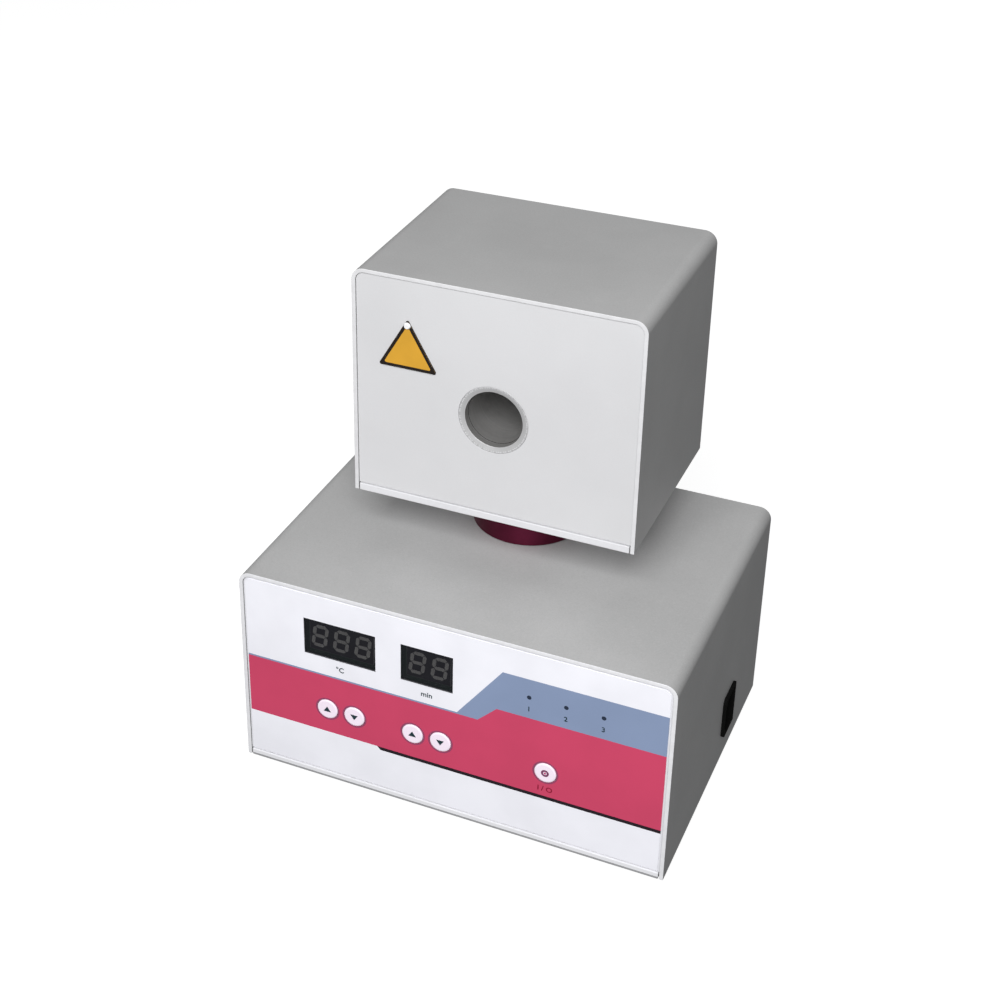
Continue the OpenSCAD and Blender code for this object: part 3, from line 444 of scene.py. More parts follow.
# %% Metals
def worked_metal(name, colour, rough, grain_scale=(1, 1, 1), stain=0.1, spangle=0.0):
    """Bare or plated metal, with grain that runs along the axes where grain_scale is small."""
    metal = Finish(name)
    lines = metal.noise(0.5 * MM, 3, 0.6, metal.stretched(*grain_scale))
    stains = metal.noise(14 * MM, 4, 0.6).span(0.45, 0.75)
    body = metal.mix(lines, shade(colour, 0.88), shade(colour, 1.08))
    body = metal.mix(stains * stain, body, shade(colour, 0.45))
    if spangle:
        grid = {"Vector": metal.place, "Scale": 1 / (3 * MM)}
        cells = metal.node("ShaderNodeTexVoronoi", inputs=grid, output="Color")
        flakes = metal.node("ShaderNodeSeparateColor", inputs={0: cells})
        body = metal.mix(flakes * spangle, body, shade(colour, 0.7))
    return metal.done(
        base_color=body,
        metallic=0.95 - stains * 0.15,
        roughness=rough + lines * 0.15 + stains * 0.1,
        normal=metal.relief(lines, 0.02 * MM, 0.4),
    )


bore_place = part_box("mouth_ring")
bore_x = (bore_place[0].x + bore_place[1].x) / 2
bore_z = (bore_place[0].z + bore_place[1].z) / 2


def turned_metal(name, colour, rough, stain, ring=0.5 * MM, metallic=0.9, face=None):
    """Metal turned on a lathe about the bore's axis: rings, with stains from heat. What lies before
    the depth of its face, where one is given, is darkened as painted shade."""
    metal = Finish(name)
    radius = ((metal.x - bore_x) ** 2.0 + (metal.z - bore_z) ** 2.0) ** 0.5
    where = metal.node("ShaderNodeCombineXYZ", inputs={0: radius, 1: metal.y * 0.6})
    rings = metal.noise(ring, 2, 0.6, where)
    stains = metal.noise(8 * MM, 4, 0.6).span(0.4, 0.75)
    body = metal.mix(rings, shade(colour, 0.8), shade(colour, 1.15))
    body = metal.mix(stains * stain, body, shade(colour, 0.5))
    if face is not None:
        # Painted shade: the face at the front of the block sits back in the bore, and is darkened
        # here.
        body = metal.mix(metal.y < face + FACE_MARGIN, body, shade(colour, 0.16))
    return metal.done(
        base_color=body,
        metallic=metallic,
        roughness=rough + rings * 0.12 + stains * 0.12,
        normal=metal.relief(rings, 0.03 * MM, 0.4),
    )


zinc = worked_metal("zinc_plate", tone(196, 198, 200), 0.3, spangle=0.35)
steel_screw = worked_metal("plated_screw", tone(190, 190, 188), 0.28, stain=0.25)
steel_turned = worked_metal("turned_steel", tone(180, 181, 184), 0.25, grain_scale=(1, 1, 8))
brass = worked_metal("nut_brass", tone(196, 160, 92), 0.3, stain=0.2)
plated_pin = worked_metal("plated_pin", tone(205, 196, 176), 0.25, grain_scale=(0.2, 1, 1))
bore_worked = {"rough": 0.42, "stain": 0.3, "ring": 0.7 * MM, "metallic": 0.7}
bore_metal = turned_metal("bore_metal", tone(180, 179, 178), **bore_worked)
# The block's front face, deep in the bore, is darkened: painted shade.
block_metal = turned_metal(
    "block_metal", tone(180, 179, 178), **bore_worked, face=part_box("heating_block")[0].y
)
ring_metal = turned_metal("mouth_ring_metal", tone(198, 198, 199), 0.34, 0.06, 0.4 * MM, 0.35)
heater_steel = turned_metal("heater_steel", tone(176, 150, 110), 0.35, 0.35)
print(f"metals; the bore's axis is at x {bore_x / MM:.1f}, z {bore_z / MM:.1f} mm")

# %% [markdown]
# The column is the one strong colour besides the red print: a deep maroon lacquer. Metal flakes
# under its tinted film reflect as a satin metal does, so the colour sits in a metallic base.

# %% Lacquer, amber enamel and small plastics
lacquer = Finish("column_lacquer")
clouds = lacquer.noise(16 * MM, 3).span(0.3, 0.7)
flecks = lacquer.noise(0.4 * MM, 2, 0.6)
column_lacquer = lacquer.done(
    base_color=lacquer.mix(clouds, tone(92, 27, 49), tone(102, 31, 57)),
    metallic=0.88 + flecks * 0.04,
    roughness=0.42 + flecks * 0.06,
    normal=lacquer.relief(lacquer.noise(2.5 * MM, 2), 0.02 * MM, 0.2),
)

tag_enamel = moulded("tag_enamel", tone(207, 155, 50), 0.35, scuff=0.06)
tag_edge = moulded("tag_edge", tone(26, 18, 14), scuff=0.06)
rivet_paint = moulded("rivet_paint", tone(236, 236, 238), 0.3, cloud=0.02)
black_plastic = moulded("black_plastic", tone(26, 26, 28), 0.38, grain=0.03, cloud=0.1, scuff=0.15)
inlet_black = moulded("inlet_black", tone(17, 17, 17), 0.75, cloud=0.1, scuff=0.01, shine=0.05)
rubber = moulded("foot_rubber", tone(34, 34, 35), 0.7, grain=0.06, cloud=0.15, scuff=0.12)
lamp_dark = moulded("lamp_lens", tone(38, 48, 66), 0.3, grain=0.005, scuff=0.02)
digit_case = moulded("digit_case", tone(30, 30, 34), 0.5, scuff=0.02)
case_side = moulded("digit_case_side", tone(150, 150, 152), 0.5, scuff=0.02)
digit_bar = moulded("digit_bar", tone(216, 214, 211), 0.5, cloud=0.02, scuff=0.02)
print("lacquer, enamel, rubber and plastics")

# %% [markdown]
# ## Finishes of the inside
#
# The inside shows only when the covers are taken off, but every piece has its finish. A circuit board
# is green lacquer over copper tracks, and the tracks come from bricks, because tracks run in steps.


# %% Boards, wool, core, braid and ceramics
def circuit_board(name, scale):
    """Green lacquer over tracks; the scale is small along the axis through the board."""
    board = Finish(name)
    tracks = board.node(
        "ShaderNodeTexBrick", {"offset": 0.37, "squash": 0.6, "squash_frequency": 3},
        {"Vector": board.stretched(*scale), "Scale": 1 / (22 * MM), "Mortar Size": 0.012,
         "Brick Width": 0.9, "Row Height": 0.13, "Color1": (0, 0, 0), "Color2": (0, 0, 0),
         "Mortar": (1, 1, 1)},
        output="Color",
    )
    copper = board.node("ShaderNodeRGBToBW", inputs={0: tracks})
    clouds = board.noise(20 * MM, 3)
    body = board.mix(clouds, tone(18, 74, 42), tone(26, 92, 52))
    body = board.mix(copper * 0.7, body, tone(70, 132, 76))
    return board.done(
        base_color=body,
        roughness=0.3 + clouds * 0.15,
        normal=board.relief(copper, 0.05 * MM, 0.6),
        coat_weight=0.3,
    )


board_upright = circuit_board("control_board_lacquer", (1, 0.01, 1))
board_flat = circuit_board("power_board_lacquer", (1, 1, 0.01))

wool = Finish("insulation_wool")
fibres = wool.noise(1.2 * MM, 4, 0.7, wool.stretched(1, 0.25, 1))
tufts = wool.noise(7 * MM, 3)
insulation_wool = wool.done(
    base_color=wool.mix(fibres, tone(214, 204, 178), tone(240, 234, 216)),
    roughness=0.9 + fibres * 0.08,
    normal=wool.relief(fibres + tufts, 0.5 * MM, 0.8),
)

core = Finish("transformer_core")
sheets = core.node(
    "ShaderNodeTexWave", {"bands_direction": "Y"},
    {"Vector": core.place, "Scale": 1 / (6.4 * MM), "Distortion": 0.4, "Detail": 2.0}, output="Fac",
)
rust = core.noise(9 * MM, 4, 0.7).span(0.5, 0.8)
transformer_core = core.done(
    base_color=core.mix(rust * 0.4, core.mix(sheets, tone(66, 68, 74), tone(128, 130, 136)),
                        tone(104, 74, 54)),
    metallic=0.7 - rust * 0.3,
    roughness=0.42 + rust * 0.2,
    normal=core.relief(sheets, 0.2 * MM, 0.6),
)

sleeve = Finish("loom_braid")
aslant = {"Vector": sleeve.place, "Rotation": (math.radians(45), math.radians(45), 0)}
weave = {"Vector": sleeve.node("ShaderNodeMapping", inputs=aslant), "Scale": 1 / (0.7 * MM)}
braid = sleeve.node("ShaderNodeTexChecker", inputs=weave, output="Fac")
loom_braid = sleeve.done(
    base_color=sleeve.mix(braid, tone(120, 34, 28), tone(156, 52, 40)),
    roughness=0.75 - braid * 0.1,
    normal=sleeve.relief(braid, 0.2 * MM, 0.7),
)
ceramic = moulded("ceramic", tone(236, 232, 222), 0.3, cloud=0.03)
nylon = moulded("nylon", tone(226, 222, 208), cloud=0.03)
relay_blue = moulded("relay_blue", tone(40, 84, 170), 0.35)
terminal_green = moulded("terminal_green", tone(52, 128, 66))
cutout_brown = moulded("cutout_brown", tone(92, 62, 44), 0.45, grain=0.03, cloud=0.08, scuff=0.08)
print("boards, insulation, core, braid, ceramics")

# %% [markdown]
# ## Shapes
#
# Sheet metal and mouldings have no knife edges: a small round along each edge catches a line of light,
# and that line is most of what makes a box look real. The exact solids have sharp edges, so a visible
# node is copied, its loose triangles are joined, its flat faces merged, and a Bevel modifier rounds
# the edges. Weighted normals keep the flat faces flat next to the round ones.


# %% Rounding a copy of a solid
WELD, EDGE_TURN = 0.002 * MM, math.radians(30)


def link(piece):
    bpy.context.collection.objects.link(piece)
    return piece


def piece_from(shape, name):
    """A new piece with the shape as its mesh, which uses the shape up."""
    mesh = bpy.data.meshes.new(name)
    shape.to_mesh(mesh)
    shape.free()
    return link(bpy.data.objects.new(name, mesh))


def joined_solid(node):
    """The shape of a CAD node, with the triangles of each solid joined."""
    shape = bmesh.new()
    shape.from_mesh(NODES[node].data)
    bmesh.ops.remove_doubles(shape, verts=shape.verts, dist=WELD)
    return shape


def plain_mesh(piece):
    """Turns the piece with its modifiers into a plain mesh, and removes the modifiers."""
    bpy.context.view_layer.update()
    graph = bpy.context.evaluated_depsgraph_get()
    made = bpy.data.meshes.new_from_object(piece.evaluated_get(graph), depsgraph=graph,
                                           preserve_all_data_layers=True)
    piece.modifiers.clear()
    piece.data = made
    made.name = piece.name
    return piece


def rounded(piece, width, segments=3):
    """Rounds the edges of a piece that turn by more than EDGE_TURN."""
    bevel = piece.modifiers.new("edges", "BEVEL")
    bevel.width, bevel.segments = width, segments
    bevel.limit_method, bevel.angle_limit = "ANGLE", EDGE_TURN
    bevel.use_clamp_overlap = bevel.loop_slide = False
    weights = piece.modifiers.new("normals", "WEIGHTED_NORMAL")
    weights.mode, weights.weight, weights.keep_sharp = "FACE_AREA", 98, False
    for face in piece.data.polygons:
        face.use_smooth = True
    return plain_mesh(piece)


def joined_copy(node, name):
    """A copy of a CAD node whose triangles are joined and whose flat faces are whole."""
    shape = joined_solid(node)
    bmesh.ops.dissolve_limit(
        shape, angle_limit=math.radians(0.2), verts=shape.verts, edges=shape.edges
    )
    return piece_from(shape, name)


def body_holding(node):
    """The name of the body that a CAD node is on."""
    return next(o.name.split(":")[1] for o in frame["bodies"].values() if NODES[node].parent == o)


def dressed(piece, body, slot, *finishes):
    """Gives a piece its finishes and its body; the slot is not used."""
    for finish in finishes:
        piece.data.materials.append(finish)
    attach(piece, body)


def softened(node, finish, slot, width):
    """A rounded copy of a CAD node that stands for it."""
    piece = rounded(joined_copy(node, node + "_finished"), width)
    dressed(piece, body_holding(node), slot, finish)
    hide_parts(node)
    return piece


def repaint(piece, finish, chosen):
    """Gives another finish to the faces whose centre is chosen."""
    piece.data.materials.append(finish)
    for face in piece.data.polygons:
        if chosen(face.center):
            face.material_index = len(piece.data.materials) - 1


def from_bore(point):
    """The distance of a point from the bore's axis."""
    return math.hypot(point.x - bore_x, point.z - bore_z)


RING_BORE, RING_RIM, RING_FLARE = 15.95 * MM, 18.4 * MM, 2.2 * MM
ring_back = bore_place[0].y + RING_FLARE
for node, finish, slot, width in (
    ("base_cover", base_paint, "cover_grey", 0.3),
    ("head_cover", head_paint, "cover_grey", 0.3),
    ("base_tray", base_tray_paint, "tray_pale", 0.35),
    ("head_tray", head_tray_paint, "tray_pale", 0.35),
    ("base_front_panel", front_paint, "panel_white", 0.12),
    ("head_front_panel", panel_paint, "panel_white", 0.15),
    ("base_back_panel", panel_paint, "panel_white", 0.3),
    ("head_back_panel", panel_paint, "panel_white", 0.3),
    ("base_feet", rubber, "rubber_black", 0.5),
    ("swivel_column", column_lacquer, "column_maroon", 0.25),
    ("mouth_ring", ring_metal, "mouth_pale", 0.2),
    ("mains_inlet", inlet_black, "black_plastic", 0.25),
    ("temperature_window", window_smoke, "smoke_lens", 0.15),
    ("time_window", window_smoke, "smoke_lens", 0.15),
):
    piece = softened(node, finish, slot, width * MM)
    print(f"{piece.name}: {len(piece.data.polygons)} faces")
    if node == "mouth_ring":
        repaint(piece, bore_metal, lambda c: from_bore(c) < RING_BORE or c.y > ring_back)
        repaint(piece, panel_paint, lambda c: from_bore(c) > RING_RIM)

# %% [markdown]
# ## The printed front
#
# A print is a set of flat fields that meet edge to edge. In one shader they would blur when the model
# is exported, so each field is a thin plate of its own. A plate is made from loops of points: the
# first is its outline, and the others are its holes.


# %% A plate from loops of points
def flat_plate(name, regions, front, depth):
    """Plates seen from the front: regions of (x, z) loops, from y = front back over depth."""
    shape = bmesh.new()
    for loops in regions:
        points = [Vector((x, 0, z)) for loop in loops for x, z in loop]
        near = [shape.verts.new((p.x, front, p.z)) for p in points]
        far = [shape.verts.new((p.x, front + depth, p.z)) for p in points]
        for a, b, c in tessellate_polygon([[Vector((x, z, 0)) for x, z in loop] for loop in loops]):
            shape.faces.new((near[a], near[b], near[c]))
            shape.faces.new((far[c], far[b], far[a]))
        first = 0
        for loop in loops:
            ring = range(first, first + len(loop))
            for i, j in zip(ring, [*ring[1:], ring[0]]):
                shape.faces.new((near[i], near[j], far[j], far[i]))
            first += len(loop)
    bmesh.ops.dissolve_limit(shape, angle_limit=0.001, verts=shape.verts, edges=shape.edges)
    bmesh.ops.recalc_face_normals(shape, faces=shape.faces)
    return piece_from(shape, name)


def circle(x, z, radius, steps=48):
    turns = (2 * math.pi * i / steps for i in range(steps))
    return [(x + radius * math.cos(t), z + radius * math.sin(t)) for t in turns]


def hoop(x, z, radius, hole):
    """The loops of a flat ring."""
    return [circle(x, z, radius), circle(x, z, hole)[::-1]]


def rectangle(low, high):
    return [(low[0], low[1]), (high[0], low[1]), (high[0], high[1]), (low[0], high[1])]


def arc(x, z, radius, start, end, steps=8):
    """Points along a part of a circle, from one angle in degrees to another."""
    turns = (math.radians(start + (end - start) * i / steps) for i in range(steps + 1))
    return [(x + radius * math.cos(t), z + radius * math.sin(t)) for t in turns]


print("plates, circles, rectangles and arcs")

# %% Cut the film into its five fields
film_low, film_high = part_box("front_film")
film_depth = film_high.y - film_low.y
LENS_LIP, KEY_FLANGE, KEY_GAP, LAMP_HOLE = 0.8 * MM, 1.5 * MM, 0.3 * MM, 1.25 * MM
FILM_CORNER = 3.6 * MM
left, right = film_low.x, film_high.x


def above_base(height):
    """A height in millimetres above the control box's underside, in the frame."""
    return base_low.z + height * MM


KEYS = ("key_temperature_up", "key_temperature_down", "key_time_up", "key_time_down", "key_power")
windows, keys = {}, {}
for node in ("temperature_window", "time_window"):
    low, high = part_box(node)
    windows[node] = ((low.x + LENS_LIP, low.z + LENS_LIP), (high.x - LENS_LIP, high.z - LENS_LIP))
for node in KEYS:
    low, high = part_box(node)
    keys[node] = ((low.x + high.x) / 2, (low.z + high.z) / 2, (high.x - low.x) / 2 - KEY_FLANGE)
lamp_low, lamp_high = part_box("indicator_lamps")
lamp_z, lamp_r = (lamp_low.z + lamp_high.z) / 2, (lamp_high.z - lamp_low.z) / 2
lamp_ends = (lamp_low.x + lamp_r, lamp_high.x - lamp_r)
lamps = [lamp_ends[0], sum(lamp_ends) / 2, lamp_ends[1]]

BAR_LOW, RED_LOW, RED_HIGH, LINE_HIGH, STEP_HIGH, BLUE_HIGH = (
    above_base(h) for h in (30.1, 32.2, 69.8, 70.8, 80.2, 104.7)
)
BAR_START, SLOPE_START, STEP_START = -41 * MM, 4.8 * MM, 17.3 * MM
SLOPE_RUN, STEP_RISE = 25.8 * MM, STEP_HIGH - RED_HIGH
bar_point = (BAR_START + RED_LOW - BAR_LOW, BAR_LOW)
step = [(STEP_START, RED_HIGH), (STEP_START + STEP_RISE, STEP_HIGH)]
slope_top = (SLOPE_START + SLOPE_RUN, BLUE_HIGH)
line_share = (LINE_HIGH - RED_HIGH) / (BLUE_HIGH - RED_HIGH)
slope_low = (SLOPE_START + SLOPE_RUN * line_share, LINE_HIGH)
crown = [
    *arc(right - FILM_CORNER, film_high.z - FILM_CORNER, FILM_CORNER, 0, 90),
    *arc(left + FILM_CORNER, film_high.z - FILM_CORNER, FILM_CORNER, 90, 180),
]
key_holes = [circle(x, z, r + KEY_GAP) for x, z, r in keys.values()]
lamp_holes = [circle(x, lamp_z, LAMP_HOLE, 24) for x in lamps]
fields = {
    "film_white": (film_white, [
        [[(left, LINE_HIGH), slope_low, slope_top, (right, BLUE_HIGH), *crown],
         *(rectangle(*w) for w in windows.values())],
        [[(left, film_low.z), (right, film_low.z), (right, BAR_LOW), bar_point,
          (BAR_START, RED_LOW), (left, RED_LOW)]],
    ]),
    "film_red": (film_red, [
        [[(left, RED_LOW), (right, RED_LOW), (right, STEP_HIGH), *step[::-1], (left, RED_HIGH)],
         *key_holes],
    ]),
    "film_blue": (film_blue, [
        [[(left, RED_HIGH), *step, (right, STEP_HIGH), (right, BLUE_HIGH), slope_top, slope_low,
          (left, LINE_HIGH)], *lamp_holes],
    ]),
    "film_black": (film_black, [
        [[(BAR_START, RED_LOW), bar_point, (right, BAR_LOW), (right, RED_LOW)]],
    ]),
}
for name, (ink, regions) in fields.items():
    field = flat_plate(name, regions, film_low.y, film_depth)
    dressed(field, "base", "printed_film", ink)
    if name == "film_white":
        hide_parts("front_film")
    print(f"{name}: {len(field.data.polygons)} faces")
for number, hole in enumerate(lamp_holes, 1):
    lens = flat_plate(f"lamp_lens_{number}", [[hole]], film_low.y, film_depth)
    dressed(lens, "base", "smoke_lens", lamp_dark)

# %% [markdown]
# The print also has small generic marks: unit signs under the windows, numbers under the lamps, and
# signs on and under the keys. They are plates a few hundredths of a millimetre thick, so they lie on
# the film as ink does. A sign on a key rides on that key and goes in with it.

# %% Marks on the film and on the keys
INK, RING_WIDE = 0.03 * MM, 0.9 * MM
CAPITAL_SHARE, BOLDER = 0.72, 0.03
WORD_TALL, NUMBER_TALL, NUMBER_DROP, POWER_DROP = 3.2 * MM, 3 * MM, 7.4 * MM, 11 * MM
film_face = film_low.y


def printed_word(name, word, x, z, height, ink):
    """A word or number, centred at x and z, as a thin plate on the film."""
    curve = bpy.data.curves.new(name, "FONT")
    curve.body, curve.size, curve.extrude = word, height / CAPITAL_SHARE, INK / 2
    curve.align_x, curve.align_y, curve.resolution_u = "CENTER", "CENTER", 4
    curve.offset = height * BOLDER
    lettering = link(bpy.data.objects.new(name, curve))
    bpy.context.view_layer.update()
    mesh = bpy.data.meshes.new_from_object(lettering)
    bpy.data.objects.remove(lettering)
    upright = Matrix.Rotation(math.radians(90), 4, "X")
    mesh.transform(Matrix.Translation((x, film_face - INK / 2, z)) @ upright)
    dressed(link(bpy.data.objects.new(name, mesh)), "base", "printed_film", ink)


word_z = above_base(76.3)
for name, word, window in (("mark_degrees", "°C", "temperature_window"),
                           ("mark_minutes", "min", "time_window")):
    (x0, _), (x1, _) = windows[window]
    printed_word(name, word, (x0 + x1) / 2, word_z, WORD_TALL, legend_ink)
for number, x in enumerate(lamps, 1):
    printed_word(f"mark_lamp_{number}", str(number), x, lamp_z - NUMBER_DROP, NUMBER_TALL, legend_ink)
power_x, power_z, _ = keys["key_power"]
dark_red_ink = printed_film("dark_red_ink", tone(138, 8, 44))
printed_word("mark_power", "I / O", power_x, power_z - POWER_DROP, WORD_TALL, dark_red_ink)

# The arrow's foot and tip are measured from the key's middle
ARROW_HALF, ARROW_FOOT, ARROW_TIP = 2.3 * MM, 1.4 * MM, 1.9 * MM
POWER_RING, POWER_RING_HOLE, POWER_DOT = 2.2 * MM, 1.0 * MM, 0.65 * MM

for node in KEYS:
    softened(node, key_plastic, "key_white", 0.2 * MM)
    x, z, r = keys[node]
    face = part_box(node)[0].y
    hole = r + KEY_GAP
    ring = flat_plate(node + "_ring", [hoop(x, z, hole + RING_WIDE, hole)], film_face - INK, INK)
    dressed(ring, "base", "printed_film", ring_ink)
    if node == "key_power":
        loops, ink = hoop(x, z, POWER_RING, POWER_RING_HOLE), power_ink
        dot = flat_plate(node + "_dot", [[circle(x, z, POWER_DOT)]], face - INK, INK)
        dressed(dot, node, "printed_film", dot_ink)
    else:
        up = 1 if node.endswith("up") else -1
        foot, tip = z - up * ARROW_FOOT, z + up * ARROW_TIP
        loops, ink = [[(x - ARROW_HALF, foot), (x + ARROW_HALF, foot), (x, tip)]], legend_ink
    sign = flat_plate(node + "_sign", [loops], face - INK, INK)
    dressed(sign, node, "printed_film", ink)
    print(f"{node}: radius {r / MM:.1f} mm, sign with {len(sign.data.polygons)} faces")

# %% [markdown]
# ## Digits
#
# A seven-segment digit repeats along a row, so Geometry Nodes make the row: a line of points, one
# digit on each, and then Realize Instances and Set Material, because the export drops instances. The
# inputs are set by their sockets' identifiers before the modifier is first evaluated.


# %% A row of digits
def set_inputs(modifier, **values):
    """Sets a Geometry Nodes modifier's inputs by the names in its tree."""
    for item in modifier.node_group.interface.items_tree:
        key = item.name.lower().replace(" ", "_")
        if item.item_type == "SOCKET" and key in values:
            modifier[item.identifier] = values[key]


def new_tree(name, **inputs):
    """An empty Geometry Nodes tree with a geometry input, a geometry output and named inputs."""
    tree = bpy.data.node_groups.new(name, "GeometryNodeTree")
    tree.interface.new_socket("Geometry", in_out="INPUT", socket_type="NodeSocketGeometry")
    tree.interface.new_socket("Geometry", in_out="OUTPUT", socket_type="NodeSocketGeometry")
    for title, kind in inputs.items():
        tree.interface.new_socket(
            title.replace("_", " ").title(), in_out="INPUT", socket_type="NodeSocket" + kind
        )
    return tree, tree.nodes.new("NodeGroupInput"), tree.nodes.new("NodeGroupOutput")


def wire(tree, *pairs):
    for output, socket in pairs:
        tree.links.new(output, socket)


def add(tree, kind, **settings):
    """A new node of a tree, with its settings."""
    made = tree.nodes.new(kind)
    for key, value in settings.items():
        setattr(made, key, value)
    return made


def copies_of(tree, given, result):
    """The nodes that put the given geometry on points, make it real and give it the finish."""
    copies = add(tree, "GeometryNodeInstanceOnPoints")
    real, coat = add(tree, "GeometryNodeRealizeInstances"), add(tree, "GeometryNodeSetMaterial")
    wire(
        tree,
        (given.outputs["Geometry"], copies.inputs["Instance"]), (copies.outputs[0], real.inputs[0]),
        (real.outputs[0], coat.inputs["Geometry"]), (given.outputs["Finish"], coat.inputs["Material"]),
        (coat.outputs[0], result.inputs[0]),
    )
    return copies


row_tree, given, result = new_tree("row", count="Int", pitch="Float", finish="Material")
line, step_by = add(row_tree, "GeometryNodeMeshLine"), add(row_tree, "ShaderNodeCombineXYZ")
gaps, half, start = (
    add(row_tree, "ShaderNodeMath", operation=o) for o in ("SUBTRACT", "MULTIPLY", "MULTIPLY")
)
begin = add(row_tree, "ShaderNodeCombineXYZ")
gaps.inputs[0].default_value, half.inputs[1].default_value = 1.0, 0.5
wire(
    row_tree,
    (given.outputs["Count"], line.inputs["Count"]), (given.outputs["Pitch"], step_by.inputs["X"]),
    (step_by.outputs[0], line.inputs["Offset"]), (given.outputs["Count"], gaps.inputs[1]),
    (gaps.outputs[0], half.inputs[0]), (half.outputs[0], start.inputs[0]),
    (given.outputs["Pitch"], start.inputs[1]), (start.outputs[0], begin.inputs["X"]),
    (begin.outputs[0], line.inputs["Start Location"]),
    (line.outputs[0], copies_of(row_tree, given, result).inputs["Points"]),
)

DIGIT_PITCH, DIGIT_HIGH, DIGIT_SLANT = 12.7 * MM, 14.2 * MM, math.radians(8)
BAR_WIDE, BAR_PROUD, LYING_GAP, STANDING_GAP = 2.05 * MM, 0.1 * MM, 0.6 * MM, 0.4 * MM


def bar(length, turn, x, z):
    """One segment with pointed ends, turned and moved to its place in the digit."""
    h, w = length / 2, BAR_WIDE / 2
    outline = [(-h, 0), (w - h, w), (h - w, w), (h, 0), (h - w, -w), (w - h, -w)]
    c, s = math.cos(turn), math.sin(turn)
    return [[(x + c * u - s * v, z + s * u + c * v) for u, v in outline]]


reach, arm = (DIGIT_HIGH - BAR_WIDE) / 2, DIGIT_HIGH / 4
lean = math.tan(DIGIT_SLANT)
bars = [bar(2 * arm - LYING_GAP, 0, z * lean, z) for z in (-reach, 0, reach)]
bars += [
    bar(reach - STANDING_GAP, math.pi / 2 - DIGIT_SLANT, x + z * lean, z)
    for x in (-arm, arm) for z in (-reach / 2, reach / 2)
]
for node, count in (("temperature_display", 3), ("time_display", 2)):
    low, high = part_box(node)
    case = flat_plate(node + "_case", [[rectangle((low.x, low.z), (high.x, high.z))]],
                      low.y + BAR_PROUD, high.y - low.y - BAR_PROUD)
    rounded(case, 0.3 * MM, segments=2)
    dressed(case, "base", "display_grey", digit_case)
    repaint(case, case_side, lambda c: c.y > low.y + BAR_PROUD + FACE_MARGIN)
    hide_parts(node)
    digits = flat_plate(node + "_digits", bars, 0, BAR_PROUD)
    modifier = digits.modifiers.new("row", "NODES")
    modifier.node_group = row_tree
    set_inputs(modifier, count=count, pitch=DIGIT_PITCH, finish=digit_bar)
    plain_mesh(digits)
    middle = (low + high) / 2
    digits.data.transform(Matrix.Translation((middle.x, low.y, middle.z)))
    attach(digits, "base")
    print(f"{digits.name}: {len(digits.data.polygons)} faces")

# %% [markdown]
# ## Tag and rivet
#
# The tag on the head is a blank amber plate, hung on one rivet. A dark enamelled edge runs round it:
# a thin band between two triangles on its face, and the plate's own sides.

# %% Tag, its edge and its rivet
TAG_FACE = 0.01 * MM
tag_low, tag_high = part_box("tag_plate")
tag = softened("tag_plate", tag_enamel, "tag_amber", 0.12 * MM)
repaint(tag, tag_edge, lambda c: c.y > tag_low.y + TAG_FACE)
TAG_CORNER, EDGE_IN, EDGE_WIDE, EDGE_CORNER = 1 * MM, 0.08 * MM, 1.7 * MM, 0.8 * MM


def triangle(inset):
    """The tag's outline moved in by inset, with small round corners."""
    side = tag_high.x - tag_low.x - 2 * TAG_CORNER
    centre = ((tag_low.x + tag_high.x) / 2, tag_low.z + TAG_CORNER + side / math.sqrt(12))
    reach = side / math.sqrt(3) + 2 * (TAG_CORNER - inset - EDGE_CORNER)
    points = []
    for turn in (-30, 90, 210):
        a = math.radians(turn)
        points += arc(centre[0] + reach * math.cos(a), centre[1] + reach * math.sin(a),
                      EDGE_CORNER, turn - 60, turn + 60, 6)
    return points


band = flat_plate("tag_edge", [[triangle(EDGE_IN), triangle(EDGE_IN + EDGE_WIDE)[::-1]]],
                  tag_low.y - INK, INK)
dressed(band, "head", "tag_amber", tag_edge)
softened("tag_rivet", rivet_paint, "rivet_alu", 0.2 * MM)
print(f"tag: {(tag_high.x - tag_low.x) / MM:.1f} mm wide")

# %% [markdown]
# ## Screws
#
# The same cross-recessed screw closes both boxes from below. One screw is turned as a profile, with
# ridges for its thread, and a cross is cut into its head. Geometry Nodes then put a copy on every
# point of a small mesh, and give each its own angle, because no one lines up screws.


# %% One screw
def turned(name, profile, steps=24):
    """A solid of revolution about Z from (radius, z) points; the first and last are on the axis."""
    shape = bmesh.new()
    rings = []
    for radius, z in profile:
        if radius == 0:
            rings.append([shape.verts.new((0, 0, z))] * steps)
        else:
            rings.append([shape.verts.new((x, y, z)) for x, y in circle(0, 0, radius, steps)])
    for a, b in zip(rings, rings[1:]):
        for i in range(steps):
            corners = dict.fromkeys((a[i], a[(i + 1) % steps], b[(i + 1) % steps], b[i]))
            shape.faces.new(list(corners))
    bmesh.ops.recalc_face_normals(shape, faces=shape.faces)
    return piece_from(shape, name)


SCREW_R, HEAD_R, HEAD_T, SCREW_LONG, THREAD = 1.5 * MM, 2.8 * MM, 1.6 * MM, 6.8 * MM, 0.5 * MM
ROOT_SHARE, TIP_SHARE, RIM_SHARE, DOME_SHARE = 0.86, 0.7, 0.3, 0.65
ARM_LONG, ARM_WIDE, CUTTER_TALL, CUTTER_OUT = 1.5 * MM, 0.28 * MM, 0.9 * MM, 0.2 * MM


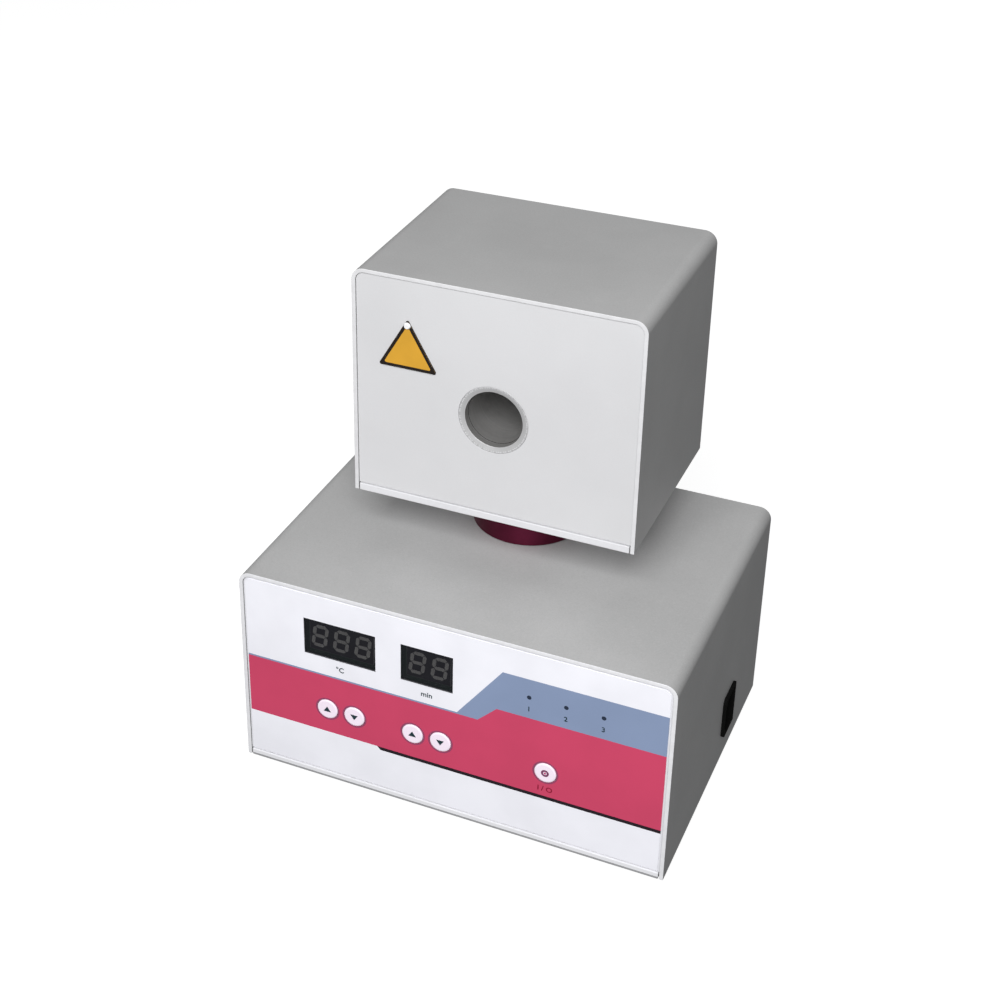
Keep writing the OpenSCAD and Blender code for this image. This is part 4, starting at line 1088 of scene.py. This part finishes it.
def cross_screw(name, length):
    """A screw that points up, with its washer face at z = 0 and a cross cut into its head."""
    dome = [(HEAD_R * math.sin(a), -HEAD_T * (1 - DOME_SHARE + DOME_SHARE * math.cos(a)))
            for a in (math.radians(d) for d in (0, 20, 40, 60, 76))]
    profile = [*dome, (HEAD_R, -RIM_SHARE * HEAD_T), (HEAD_R, 0), (SCREW_R, 0)]
    for i in range(int(length / THREAD) - 1):
        profile += [(SCREW_R * ROOT_SHARE, (i + 0.5) * THREAD), (SCREW_R, (i + 1) * THREAD)]
    profile += [(SCREW_R * TIP_SHARE, length), (0, length)]
    screw = turned(name, profile)
    cross = flat_plate(name + "_cutter", [
        [rectangle((-ARM_LONG, -ARM_WIDE), (ARM_LONG, ARM_WIDE))],
        [rectangle((-ARM_WIDE, -ARM_LONG), (ARM_WIDE, ARM_LONG))],
    ], -HEAD_T, CUTTER_TALL)
    cross.data.transform(Matrix.Rotation(math.radians(90), 4, "X"))
    lows = min(v.co.z for v in cross.data.vertices)
    cross.data.transform(Matrix.Translation((0, 0, -HEAD_T - lows - CUTTER_OUT)))
    cut = screw.modifiers.new("cross", "BOOLEAN")
    cut.operation, cut.object, cut.solver, cut.use_self = "DIFFERENCE", cross, "EXACT", True
    plain_mesh(screw)
    bpy.data.objects.remove(cross)
    return screw


point_tree, given, result = new_tree("copies_on_points", places="Object", seed="Int",
                                     finish="Material")
info = add(point_tree, "GeometryNodeObjectInfo", transform_space="RELATIVE")
turn = add(point_tree, "FunctionNodeRandomValue", data_type="FLOAT")
turn.inputs[3].default_value = math.tau
spin = add(point_tree, "ShaderNodeCombineXYZ")
copies = copies_of(point_tree, given, result)
wire(
    point_tree,
    (given.outputs["Places"], info.inputs[0]), (info.outputs["Geometry"], copies.inputs["Points"]),
    (given.outputs["Seed"], turn.inputs["Seed"]), (turn.outputs[1], spin.inputs["Z"]),
    (spin.outputs[0], copies.inputs["Rotation"]),
)
print("screw tree ready")


# %% Put screws where the solids have them
def islands(node):
    """The lowest and highest corner of each separate solid of a CAD node. They are sorted by place,
    because a set has no order of its own."""
    shape = joined_solid(node)
    left_over, found = set(shape.verts), []
    while left_over:
        group, edge = set(), {left_over.pop()}
        while edge:
            group |= edge
            edge = {e.other_vert(v) for v in edge for e in v.link_edges} - group
        left_over -= group
        found.append([Vector(f(v.co[i] for v in group) for i in range(3)) for f in (min, max)])
    shape.free()
    return sorted(found, key=lambda corners: [round(v, 4) for v in corners[0]])


def screws_at(name, node, places, body, seed):
    """Screws on the places, which stand for a CAD node; the seed sets their angles."""
    marks = bpy.data.meshes.new(name + "_places")
    marks.from_pydata(places, [], [])
    spots = link(bpy.data.objects.new(name + "_places", marks))
    screws = cross_screw(name, SCREW_LONG)
    modifier = screws.modifiers.new("copies", "NODES")
    modifier.node_group = point_tree
    set_inputs(modifier, places=spots, seed=seed, finish=steel_screw)
    plain_mesh(screws)
    bpy.data.objects.remove(spots)
    screws.data.set_sharp_from_angle(angle=math.radians(35))
    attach(screws, body)
    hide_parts(node)
    print(f"{name}: {len(places)} screws, {len(screws.data.polygons)} faces")


for seed, (node, body) in enumerate((("base_screws", "base"), ("head_screws", "head")), 1):
    places = [((low.x + high.x) / 2, (low.y + high.y) / 2, low.z + HEAD_T)
              for low, high in islands(node)]
    screws_at(node + "_crossed", node, places, body, seed)

# %% [markdown]
# ## The rest of the solids
#
# The other nodes have the right shape as they are. Each keeps its solid and gets its finish, so that
# the machine also looks right with its covers off.

# %% Finishes of the nodes that stay
STAY = {
    block_metal: ("heating_block",),
    zinc: ("block_brackets", "column_plate", "board_spacers", "spring_washer"),
    steel_screw: ("foot_screws", "base_nuts", "head_nuts", "board_screws", "column_screws",
                  "spindle_screws", "bracket_screws", "band_screws"),
    steel_turned: ("swivel_spindle", "stop_pin", "temperature_probe"),
    brass: ("spindle_nut",),
    plated_pin: ("inlet_pins",),
    heater_steel: ("band_heaters",),
    insulation_wool: ("insulation_sleeve",),
    transformer_core: ("mains_transformer",),
    loom_braid: ("heater_loom",),
    ceramic: ("heater_terminal", "fuse_holder"),
    nylon: ("thrust_washer", "power_board_spacers"),
    relay_blue: ("heater_relay",),
    terminal_green: ("loom_terminal",),
    cutout_brown: ("thermal_cutout",),
    black_plastic: ("key_switches",),
    lamp_dark: ("indicator_lamps",),
    board_upright: ("control_board",),
    board_flat: ("power_board",),
}
for finish, nodes in STAY.items():
    for node in nodes:
        NODES[node].data.materials.clear()
        NODES[node].data.materials.append(finish)
kept = sum(STAY.values(), ())
print("nodes without a finish:", [n for n, o in NODES.items() if not o.hide_render and n not in kept])
